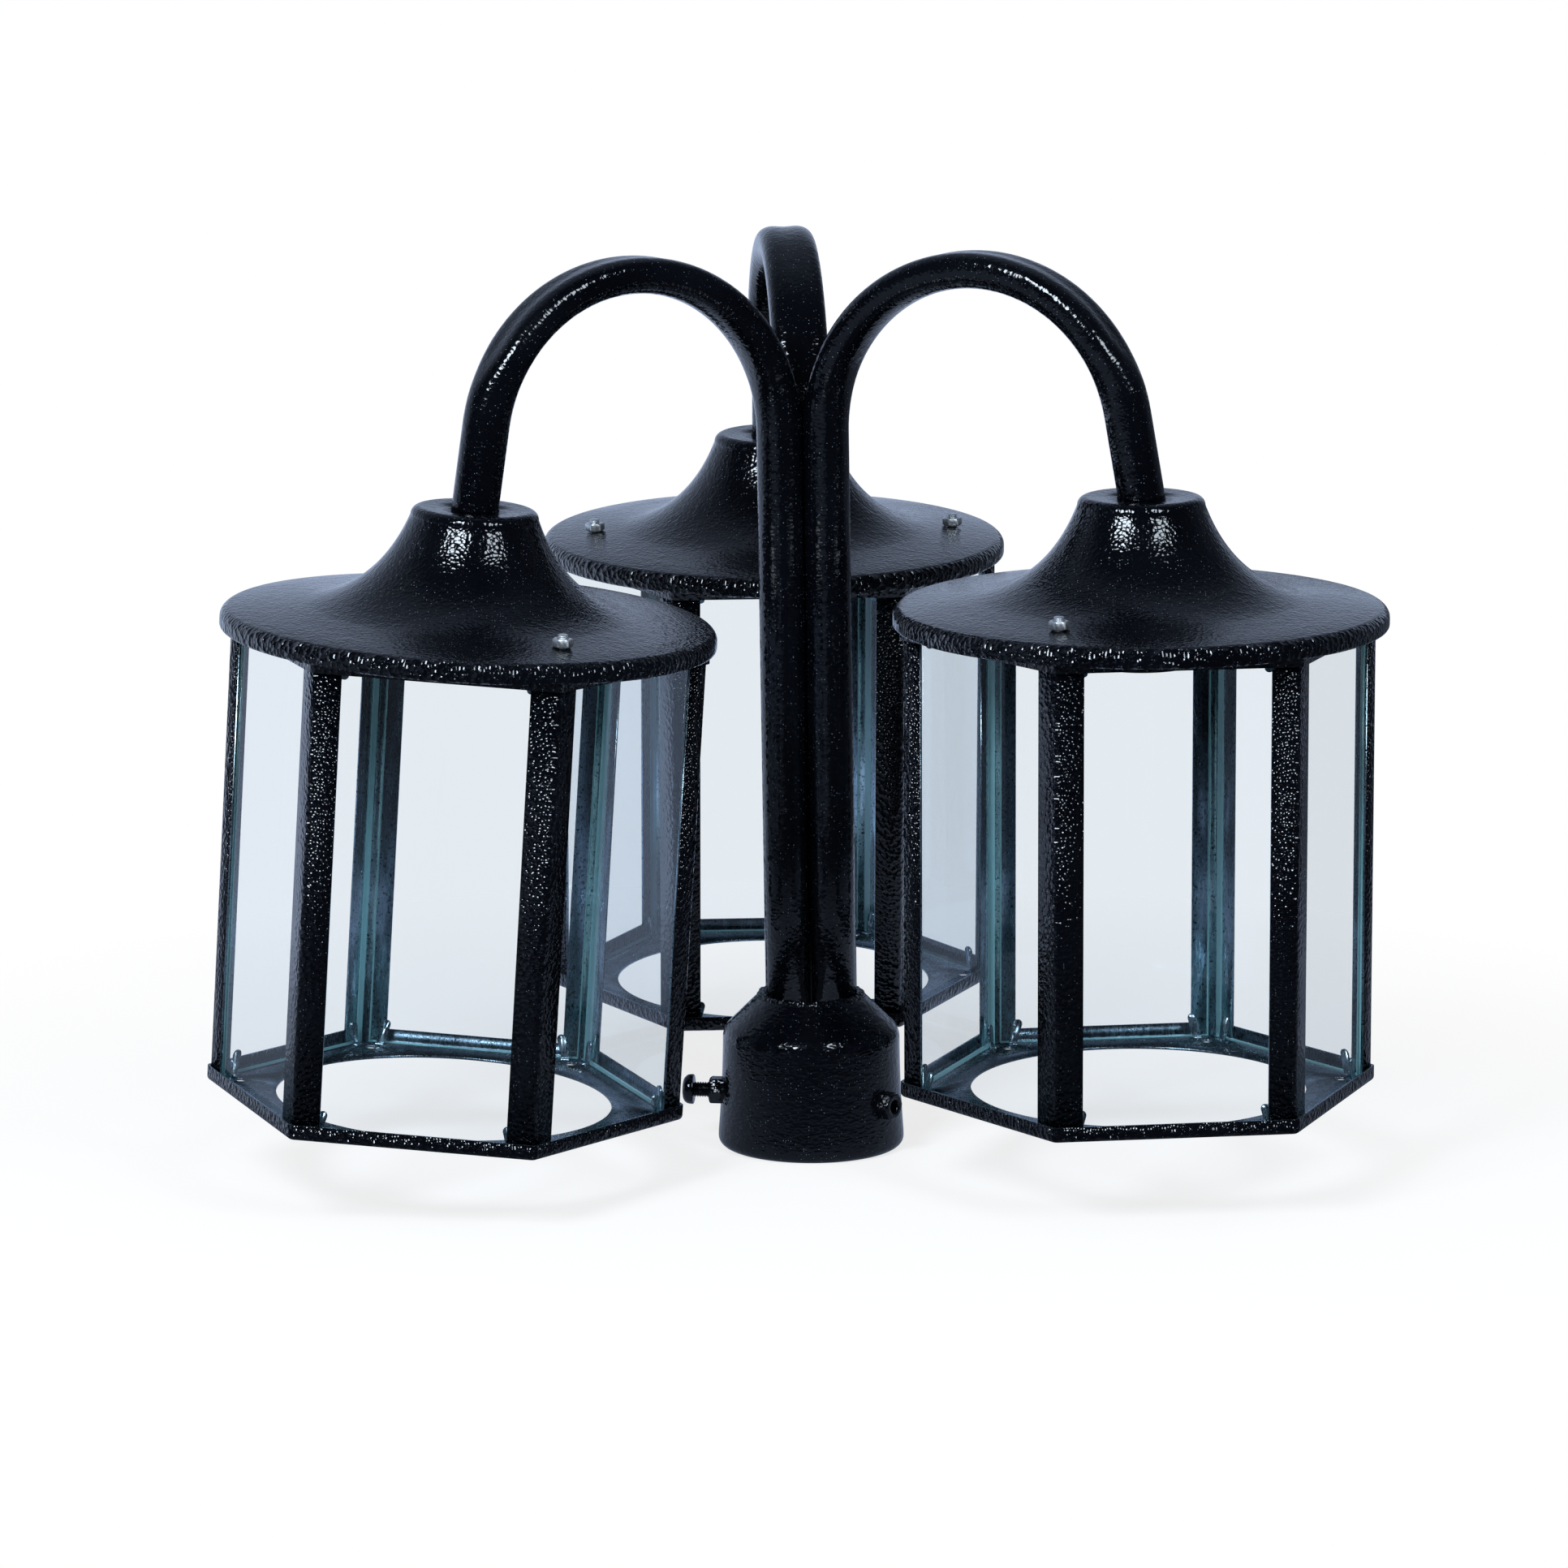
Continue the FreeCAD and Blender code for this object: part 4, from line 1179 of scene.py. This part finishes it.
# ---------------------------------------------------------------------- cage
@dataclass
class Cage(LanternPart):
    """Tray, top frame, posts, panes and tabs of one hexagonal lantern."""

    ridge_radius: float = 92.0
    depth: float = 182.4
    sheet: float = 1.0
    leaf: float = 10.5
    ridge_round: float = 1.9
    ridge_steps: int = 5
    pan_corner: float = 3.0
    pan_fit: float = 0.05
    fold_round: float = 1.8
    fold_pinch: float = 0.8         # how far a fold tightens the pan's corners
    fold_steps: int = 4
    tray_rim: float = 6.0
    tray_hole_radius: float = 65.0
    drain_radius: float = 2.5
    drain_at: float = 80.0
    top_frame_drop: float = 3.0
    top_frame_rise: float = 5.4
    top_hole_radius: float = 62.0
    hole_segments: int = 96
    drain_segments: int = 20
    pane_thickness: float = 3.0
    pane_face_gap: float = 0.05
    pane_end_gap: float = 0.3
    pane_side_gap: float = 1.6
    pane_arris: float = 0.3
    tab_width: float = 4.2
    tab_height: float = 10.0
    tab_sheet: float = 0.8
    tab_gap: float = 0.05
    tab_foot_width: float = 3.4
    tab_foot: float = 3.0
    tab_from_corner: float = 6.4
    tab_splay_deg: float = 12.0
    tab_segments: int = 24

    @property
    def post_apothem(self) -> float:
        """Distance from the axis to the outer face of a post's leaf."""
        return self.ridge_radius * COS_30

    @property
    def pan_apothem(self) -> float:
        """Distance from the axis to the outer face of a pan's rim."""
        inner_round = self.pan_corner - self.sheet
        return self.post_apothem + self.pan_fit + inner_round * (1.0 - COS_30) + self.sheet

    @property
    def pane_inner(self) -> float:
        """Distance from the axis to the inner face of a pane."""
        return self.post_apothem - self.sheet - self.pane_face_gap - self.pane_thickness

    @property
    def pane_half(self) -> float:
        """Half the width that a side has at the inner face of its pane."""
        return self.pane_inner * math.tan(HEX_STEP / 2)

    @property
    def floor(self) -> float:
        """Upper face of the tray's floor."""
        return self.sheet - self.depth

    @property
    def ceiling(self) -> float:
        """Underside of the top frame."""
        return self.top_frame_rise - self.sheet

    def pan(self, flat: float, rim: float, hole: float, drains: int = 0) -> BMesh:
        """Fold a hexagonal pan as one open surface, its outer faces outward.

        Args:
            flat: height of the flat's outer face.
            rim: height of the rim's edge.
            hole: radius of the round hole in the flat.
            drains: how many drain holes, each at a corner.

        Returns:
            The pan's mesh.
        """
        bm = bmesh.new()
        way = math.copysign(1.0, rim - flat)
        loops = []
        for step in range(self.fold_steps + 1):
            angle = QUARTER * step / self.fold_steps
            inset = self.fold_round * (1.0 - math.sin(angle))
            up = flat + way * self.fold_round * (1.0 - math.cos(angle))
            corner = self.pan_corner - inset * self.fold_pinch
            loops.append(hex_loop(bm, self.pan_apothem - inset, corner, up))
        loops.append(hex_loop(bm, self.pan_apothem, self.pan_corner, rim))
        at = moved(z=flat)
        edges = loops[0] + circle(bm, hole, at, self.hole_segments)
        for corner in range(drains):
            place = at @ turned(HEX_STEP * corner) @ moved(self.drain_at)
            edges += circle(bm, self.drain_radius, place, self.drain_segments)
        bmesh.ops.triangle_fill(bm, use_beauty=True, use_dissolve=False, edges=edges)
        joined(bm, loops)
        return bm

    def build_pans(self) -> None:
        """Bottom tray with its rim up, and top frame with its rim down."""
        finishes = [self.palette.sheet, self.palette.tray]
        tray = self.pan(-self.depth, self.tray_rim - self.depth, self.tray_hole_radius, HEX_SIDES)
        self.piece("tray", "bottom_tray", finishes, sheet=self.sheet).hand_over(tray)
        top = self.pan(self.top_frame_rise, -self.top_frame_drop, self.top_hole_radius)
        self.piece("head_frame", "top_frame", finishes, sheet=self.sheet).hand_over(top)

    def build_posts(self) -> None:
        """Six folded angles, painted outside and bare inside."""
        bm = bmesh.new()
        leaf = polar(HEX_STEP / 2 + QUARTER) * self.leaf
        ridge = Vector((self.ridge_radius, 0, self.floor))
        verts = [bm.verts.new(ridge + leaf), bm.verts.new(ridge),
                 bm.verts.new(ridge + Vector((leaf.x, -leaf.y, 0)))]
        bm.edges.new(verts[:2])
        bm.edges.new(verts[1:])
        soften(bm, verts[1], self.ridge_round, self.ridge_steps)
        pulled(bm, bm.edges[:], Z_AXIS * (self.ceiling - self.floor))
        bmesh.ops.recalc_face_normals(bm, faces=bm.faces[:])
        copies_round(bm, HEX_SIDES)
        self.piece("posts", "corner_posts", [self.palette.sheet, self.palette.inside],
                   sheet=self.sheet).hand_over(bm, outward=True)

    def build_pane(self, side: int) -> None:
        """Make one pane, its two faces clear and its ground edges teal.

        Args:
            side: which side of the cage it closes, from 0.
        """
        bm = bmesh.new()
        half = self.pane_half - self.pane_side_gap
        low, high = self.floor + self.pane_end_gap, self.ceiling - self.pane_end_gap
        bmesh.ops.create_cube(bm, size=1.0)
        bmesh.ops.scale(bm, vec=(self.pane_thickness, 2 * half, high - low), verts=bm.verts[:])
        cut_back(bm, bm.edges[:], self.pane_arris, 1, "EDGES")
        bm.normal_update()
        for face in bm.faces:
            face.material_index = int(abs(face.normal.x) < ALONG)
        middle = Vector((self.pane_inner + self.pane_thickness / 2, 0, (low + high) / 2))
        bm.transform(turned(HEX_STEP * (side + 0.5)) @ Matrix.Translation(middle))
        self.piece(f"glass_{side + 1}", f"pane_{side + 1}",
                   [self.palette.clear, self.palette.edge], Slot.GLASS).hand_over(bm)

    def tab(self, hand: float) -> BMesh:
        """Fold a leaning round-ended leaf on a foot, as an open surface.

        Args:
            hand: 1 or -1, the side to which the leaf stands from the pane's middle.

        Returns:
            The tab, its width along X, its height along Y and its foot towards -Z.
        """
        bm = bmesh.new()
        radius = self.tab_width / 2
        lean = math.tan(math.radians(self.tab_splay_deg)) * hand
        made = bmesh.ops.create_circle(bm, cap_ends=True, radius=radius,
                                       segments=self.tab_segments)
        for vert in made["verts"]:
            rise = self.tab_height - radius + vert.co.y
            if vert.co.y < -MERGE_WITHIN:
                vert.co.x *= self.tab_foot_width / self.tab_width
                rise = 0.0
            vert.co = Vector((vert.co.x - lean * rise, rise, 0.0))
        foot = [edge for edge in bm.edges if max(vert.co.y for vert in edge.verts) == 0.0]
        pulled(bm, foot, Z_AXIS * -self.tab_foot)
        return bm

    def build_tabs(self) -> None:
        """Rounded tabs that hold the panes, two at each corner, below and above."""
        bm = bmesh.new()
        reach = self.pane_half - self.tab_from_corner
        for end in (moved(z=self.floor), moved(z=self.ceiling) @ Matrix.Scale(-1, 4, Z_AXIS)):
            for hand in (-1.0, 1.0):
                stand = moved(self.pane_inner - self.tab_gap, hand * reach)
                tab = self.tab(hand)
                if end.is_negative:
                    bmesh.ops.reverse_faces(tab, faces=tab.faces[:])
                absorb(bm, tab, end @ (stand @ turned(QUARTER) @ turned(QUARTER, "X")))
        bm.transform(turned(HEX_STEP / 2))
        copies_round(bm, HEX_SIDES)
        self.piece("tabs", "glass_clips", [self.palette.inside], Slot.ZINC,
                   sheet=self.tab_sheet).hand_over(bm, outward=True)

    def build(self) -> None:
        """Make every piece of the cage."""
        self.build_pans()
        self.build_posts()
        for side in range(HEX_SIDES):
            self.build_pane(side)
        self.build_tabs()


# -------------------------------------------------------------------- collar
@dataclass
class Collar:
    """Cup on the post, with its weld bead, clamp nuts and screws."""

    palette: Palette
    bore_radius: float = 31.0
    wall: float = 4.0
    straight: float = 46.7
    flare: float = 2.2
    flare_steps: int = 16           # the steps next to either end are left to the roundings
    foot_round: float = 3.6
    bore_round: float = 0.6
    bore_steps: int = 2
    shoulder_round: float = 7.0
    top_round: float = 1.0
    top_steps: int = 3
    round_steps: int = 8
    top_radius: float = 21.412
    throat_radius: float = 19.712
    inner_shoulder: float = 45.043
    steps: int = 144
    weld_radius: float = 2.0
    weld_steps: tuple[int, int] = (12, 120)     # round the bead's section, and round the stems
    weld_swell: Span = (0.82, 0.28)     # mean size of the bead, and how far a lump changes it
    lump_scales: Span = (0.35, 0.9)     # large and small lumps, per millimetre
    small_lumps: float = 0.6            # height of the small lumps against the large ones
    clamp_height: float = 20.5
    wall_hole_radius: float = 3.3
    wall_hole_segments: int = 32
    drill_length: float = 24.0
    nut_flats: float = 10.0
    nut_length: float = 6.2
    nut_sink: float = 1.2
    nut_chamfer: float = 0.7
    nut_arris: float = 0.5
    tapped_radius: float = 2.5
    screw_radius: float = 3.0
    screw_clearance: float = 0.05
    screw_length: float = 16.0
    screw_pitch: float = 1.0
    screw_segments: int = 28
    shank_overlap: float = 0.01
    head_radius: float = 6.0
    head_height: float = 4.6
    backoff: float = 6.2            # from the nut to the head
    recess_length: float = 6.4
    recess_width: float = 1.6
    recess_depth: float = 2.4
    recess_taper: float = 0.55      # length of the recess at its bottom, as a share of its top
    recess_turn: float = 0.4        # in radians
    azimuths: dict[str, float] = field(
        default_factory=lambda: {"left": 173.0, "right": 324.0, "back": 68.0})
    empty: str = "right"

    @property
    def radius(self) -> float:
        """Outer radius of the wall at the cone."""
        return self.bore_radius + self.wall

    def wall_radius(self, height: float) -> float:
        """Outer radius of the flared wall at a height."""
        return self.radius + self.flare * (1.0 - min(height / self.straight, 1.0)) ** 2

    def nut_face(self) -> float:
        """Distance from the axis to the outer face of a clamp nut."""
        return self.wall_radius(self.clamp_height) - self.nut_sink + self.nut_length

    def clamp(self, name: str) -> Matrix:
        """Frame on a clamp screw's axis, +Z outward."""
        turn = turned(math.radians(self.azimuths[name])) @ turned(QUARTER, "Y")
        return moved(z=self.clamp_height) @ turn

    def build_cup(self) -> None:
        """Spin the cup's section, and drill it for the clamp screws."""
        bm = bmesh.new()
        top = self.straight + self.radius - self.top_radius
        throat = self.inner_shoulder + self.bore_radius - self.throat_radius
        heights = [self.straight * step / self.flare_steps
                   for step in range(2, self.flare_steps - 1)]
        outline = [(self.bore_radius, 0.0), (self.wall_radius(self.foot_round), 0.0)]
        outline += [(self.wall_radius(height), height) for height in heights]
        outline += [(self.radius, self.straight), (self.top_radius, top),
                    (self.throat_radius, top), (self.throat_radius, throat),
                    (self.bore_radius, self.inner_shoulder)]
        verts = chain(bm, outline, closed=True)
        bore, foot, shoulder, rim = verts[0], verts[1], verts[-5], verts[-4]
        soften(bm, rim, self.top_round, self.top_steps)
        soften(bm, shoulder, self.shoulder_round, self.round_steps)
        soften(bm, foot, self.foot_round, self.round_steps)
        soften(bm, bore, self.bore_round, self.bore_steps)
        spun(bm, self.steps)
        cup = Piece("cup_on_post", [self.palette.cast], ["collar"], Slot.PAINT).hand_over(bm)
        for name in self.azimuths:
            drill = bmesh.new()
            bmesh.ops.create_cone(drill, cap_ends=True, segments=self.wall_hole_segments,
                                  depth=self.drill_length, radius1=self.wall_hole_radius,
                                  radius2=self.wall_hole_radius)
            cut_away(cup, drill, self.clamp(name) @ moved(z=self.radius))

    def build_weld(self) -> None:
        """Lumpy weld bead round the foot of the stems."""
        bm = bmesh.new()
        round_bead, round_stems = self.weld_steps
        mean, swell = self.weld_swell
        coarse, fine = self.lump_scales
        ring(bm, self.weld_radius, round_bead,
             moved(self.throat_radius, 0, TUBE.cone_top) @ turned(QUARTER, "X"))
        spun(bm, round_stems)
        for vert in bm.verts:
            lump = noise.noise(vert.co * coarse) + self.small_lumps * noise.noise(vert.co * fine)
            out = Vector((vert.co.x, vert.co.y, 0)).normalized()
            middle = out * self.throat_radius + Z_AXIS * TUBE.cone_top
            vert.co = middle + (vert.co - middle) * (mean + swell * lump)
        Piece("weld_bead", [self.palette.weld], ["stem_weld"], Slot.PAINT).hand_over(bm)

    def build_nuts(self) -> None:
        """Three nuts welded to the wall, one of them empty."""
        bm = bmesh.new()
        outer = self.nut_face()
        for name in self.azimuths:
            loose = self.screw_radius + self.screw_clearance
            bore = self.tapped_radius if name == self.empty else loose
            nut = Nut(self.nut_flats, bore, outer - self.nut_length, outer, self.nut_chamfer)
            absorb(bm, nut.build(), self.clamp(name))
        Piece("welded_nuts", [self.palette.fastener], ["clamp_nuts"], Slot.PAINT,
              arris=self.nut_arris).hand_over(bm)

    def recess(self) -> BMesh:
        """Make one bar of a screw's cross recess, narrower at its bottom.

        Returns:
            The bar, its middle at the head's top.
        """
        bm = bmesh.new()
        bmesh.ops.create_cube(bm, size=2.0)
        size = (self.recess_length / 2, self.recess_width / 2, self.recess_depth)
        bmesh.ops.scale(bm, vec=size, verts=bm.verts[:])
        for vert in bm.verts:
            if vert.co.z < 0:
                vert.co.x *= self.recess_taper
        return bm

    def build_screw(self, name: str, body: Body) -> None:
        """Make a pan-head screw, its cross recess cut before the shank joins the head.

        Args:
            name: the clamp nut that it goes through.
            body: the body that it rides on.
        """
        seat = self.nut_face() + self.backoff
        top = seat + self.head_height
        place = self.clamp(name)
        head = PanHead(self.head_radius, seat, top).build()
        screw = Piece(f"pan_screw_{name}", [self.palette.fastener], [f"clamp_screw_{name}"],
                      Slot.PAINT, body=body.value, place=place).hand_over(head)
        for bar in range(2):
            turn = turned(bar * QUARTER + self.recess_turn)
            cut_away(screw, self.recess(), place @ moved(z=top) @ turn)
        whole = bmesh.new()
        whole.from_mesh(screw.data)
        shank = Thread(self.screw_radius, self.screw_pitch, seat - self.screw_length,
                       seat + self.shank_overlap, self.screw_segments)
        absorb(whole, shank.build(), INTO_METRES @ place)
        for face in whole.faces:
            face.smooth = True
        whole.to_mesh(screw.data)
        whole.free()
        screw.data.set_sharp_from_angle(angle=SMOOTH_BELOW)

    def build(self) -> None:
        """Make every piece of the collar."""
        self.build_cup()
        self.build_weld()
        self.build_nuts()
        self.build_screw("left", Body.LEFT_SCREW)
        self.build_screw("back", Body.BACK_SCREW)


# --------------------------------------------------------------- lampholders
@dataclass
class Lampholder(LanternPart):
    """Parts inside the neck of a lid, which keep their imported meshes."""

    def dress(self) -> None:
        """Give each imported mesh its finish."""
        finishes = {"holder_cap": self.palette.resin, "holder_shell": self.palette.resin,
                    "centre_contact": self.palette.brass, "nipple_set": self.palette.zinc}
        for part, finish in finishes.items():
            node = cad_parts[f"{part}_{self.seat.name}"]
            for slot in node.material_slots:
                slot.material = finish
            log.info("%s_%s: dressed", part, self.seat.name)


# -------------------------------------------------------------------- studio
@dataclass(frozen=True)
class Gloss:
    """What gloss sees of the room: a cool sheen that fades to near dark."""

    dark: float = 0.03
    sheen: Rgb = (0.60, 0.73, 1.0)

    def level(self, wiring: Wiring, light: Socket) -> Socket:
        """Strength of the sheen where the room is dark at 0 and light at 1."""
        return wiring.ramp(light, 0.0, 1.0, self.dark, 1.0)


GLOSS = Gloss()


@dataclass(frozen=True)
class WhiteFloor(Finish):
    """White floor: it takes shadows near the light and is plain white further off."""

    matt: Rgb = (0.8, 0.8, 0.8)     # what it gives back to the light's underside
    lift: float = 0.78              # plain glow of the part that takes shadows
    pale: Rgb = (0.25, 0.25, 0.25)
    shadow_reach: Span = (0.2, 0.5)
    back: Fade = (-0.2, 0.35, 0.0, 1.0)     # what gloss sees of it, by Y and by X
    side: Fade = (0.45, 0.05, 0.1, 1.0)
    left: Fade = (-0.5, -0.1, 0.3, 0.0)

    def shown(self, wiring: Wiring) -> Socket:
        """Wire what the camera sees.

        Args:
            wiring: the material's wiring.

        Returns:
            The shader.
        """
        white = wiring.one("Emission", {"Color": WHITE, "Strength": 1.0})
        lift = wiring.one("Emission", {"Color": WHITE, "Strength": self.lift})
        pale = wiring.one("BsdfDiffuse", {"Color": self.pale})
        near = wiring.one("AddShader", {0: pale, 1: lift})
        reach = wiring.add("VectorMath", {0: wiring.place()}, operation="LENGTH")
        far = wiring.ramp(reach.outputs["Value"], *self.shadow_reach)
        return wiring.mixed(far, near, white)

    def shader(self, wiring: Wiring) -> Socket:
        """Wire the floor.

        Args:
            wiring: the material's wiring.

        Returns:
            The shader.
        """
        x, y, _ = wiring.add("SeparateXYZ", {0: wiring.place()}).outputs
        back = wiring.maths("MULTIPLY", wiring.ramp(y, *self.back), wiring.ramp(x, *self.side))
        light = wiring.maths("MAXIMUM", back, wiring.ramp(x, *self.left))
        mirrored = wiring.one("Emission", {"Color": GLOSS.sheen,
                                           "Strength": GLOSS.level(wiring, light)})
        matt = wiring.one("BsdfDiffuse", {"Color": self.matt})
        plain = wiring.mixed(wiring.ray("Glossy"), matt, mirrored)
        return wiring.mixed(wiring.seen(), plain, self.shown(wiring))


@dataclass(frozen=True)
class Softbox:
    """Area lamp that faces the middle of the light."""

    name: str
    azimuth_deg: float              # how far round it stands, 0 being the camera's side
    size: Span
    power: float                    # in watts
    rise_deg: float = 35.0
    distance: float = 1.7
    middle: Triple = (0.0, 0.0, 0.2)
    colour: Rgb = (0.78, 0.89, 1.0)

    def build(self) -> None:
        """Add the lamp."""
        data = bpy.data.lights.new(self.name, "AREA")
        data.shape = "RECTANGLE"
        data.size, data.size_y = self.size
        data.energy = self.power
        data.color = self.colour
        lamp = new_object(self.name, data)
        azimuth, rise = math.radians(self.azimuth_deg), math.radians(self.rise_deg)
        way = polar(azimuth - QUARTER) * math.cos(rise) + Z_AXIS * math.sin(rise)
        lamp.location = Vector(self.middle) + way * self.distance
        lamp.rotation_euler = (-way).to_track_quat("-Z", "Y").to_euler()


@dataclass(frozen=True)
class Studio:
    """Camera, lamps, white room and floor."""

    lens: float = 158.65
    sensor: float = 36.0
    view_depth: float = 50.0
    distance: float = 2.719
    elevation_deg: float = 11.0
    target: Triple = (-0.0108, 0.0, 0.1452)
    floor_radius: float = 12.0
    floor_segments: int = 64
    fill: Rgb = (0.35, 0.35, 0.35)  # plain light from all round
    back: Fade = (-0.15, 0.45, 0.0, 1.0)    # what gloss sees of the room, by Y, X and Z
    side: Fade = (0.65, 0.15, 0.12, 1.0)
    rise: Fade = (0.0, 0.7, 0.85, 0.25)
    lamps: tuple[Softbox, ...] = (
        Softbox("key_left", -29.0, (0.50, 0.50), 22.0),
        Softbox("key_right", 36.0, (0.40, 0.50), 9.0),
    )

    def set_camera(self) -> None:
        """Put the camera where the photograph was taken from."""
        data = bpy.data.cameras.new("camera")
        data.lens = self.lens
        data.sensor_width = self.sensor
        data.clip_end = self.view_depth
        camera = new_object("camera", data)
        rise = math.radians(self.elevation_deg)
        back = Vector((0, -math.cos(rise), math.sin(rise))) * self.distance
        camera.location = Vector(self.target) + back
        camera.rotation_euler = (QUARTER - rise, 0, 0)
        bpy.context.scene.camera = camera

    def set_world(self) -> None:
        """White room for sight and glass, a backdrop that darkens upward for gloss, and a fill."""
        world = bpy.data.worlds.new("room")
        bpy.context.scene.world = world
        world.use_nodes = True
        wiring = Wiring(world.node_tree)
        way = wiring.add("TexCoord").outputs["Generated"]
        x, y, z = wiring.add("SeparateXYZ", {0: way}).outputs
        behind = wiring.maths("MULTIPLY", wiring.ramp(y, *self.back), wiring.ramp(x, *self.side))
        light = wiring.maths("MULTIPLY", behind, wiring.ramp(z, *self.rise))
        sheen = wiring.blend(GLOSS.level(wiring, light), BLACK, GLOSS.sheen)
        other = wiring.blend(wiring.ray("Glossy"), self.fill, sheen)
        colour = wiring.blend(wiring.seen(), other, WHITE)
        room = wiring.one("Background", {"Color": colour, "Strength": 1.0})
        wiring.add("OutputWorld", {"Surface": room})

    def lay_floor(self) -> None:
        """White floor that keeps the light's shadow."""
        bm = bmesh.new()
        bmesh.ops.create_circle(bm, cap_ends=True, radius=self.floor_radius,
                                segments=self.floor_segments)
        floor = new_object("floor", mesh_from("floor", bm))
        floor.data.materials.append(WhiteFloor("floor_white").build())

    def build(self) -> None:
        """Set up the whole studio."""
        self.set_camera()
        self.set_world()
        self.lay_floor()
        for lamp in self.lamps:
            lamp.build()
        bpy.context.scene.view_settings.view_transform = "Standard"


SEATS = (
    LanternSeat("left", 210.0, 210.4, 0.7, 3.5, -5.9),
    LanternSeat("right", 330.0, 332.8, 0.4, -0.3, 7.3),
    LanternSeat("back", 90.0, 95.0, 2.2, 0.1, 4.3),
)


def main() -> None:
    """Build the light piece by piece, then the studio round it."""
    logging.basicConfig(level=logging.INFO, format="%(name)s: %(message)s")
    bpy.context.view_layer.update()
    palette = Palette.mix()
    Collar(palette).build()
    for seat in SEATS:
        Arm(seat, palette).build()
        Lid(seat, palette).build()
        Cage(seat, palette).build()
        Lampholder(seat, palette).dress()
    Studio().build()


if __name__ == "__main__":
    main()
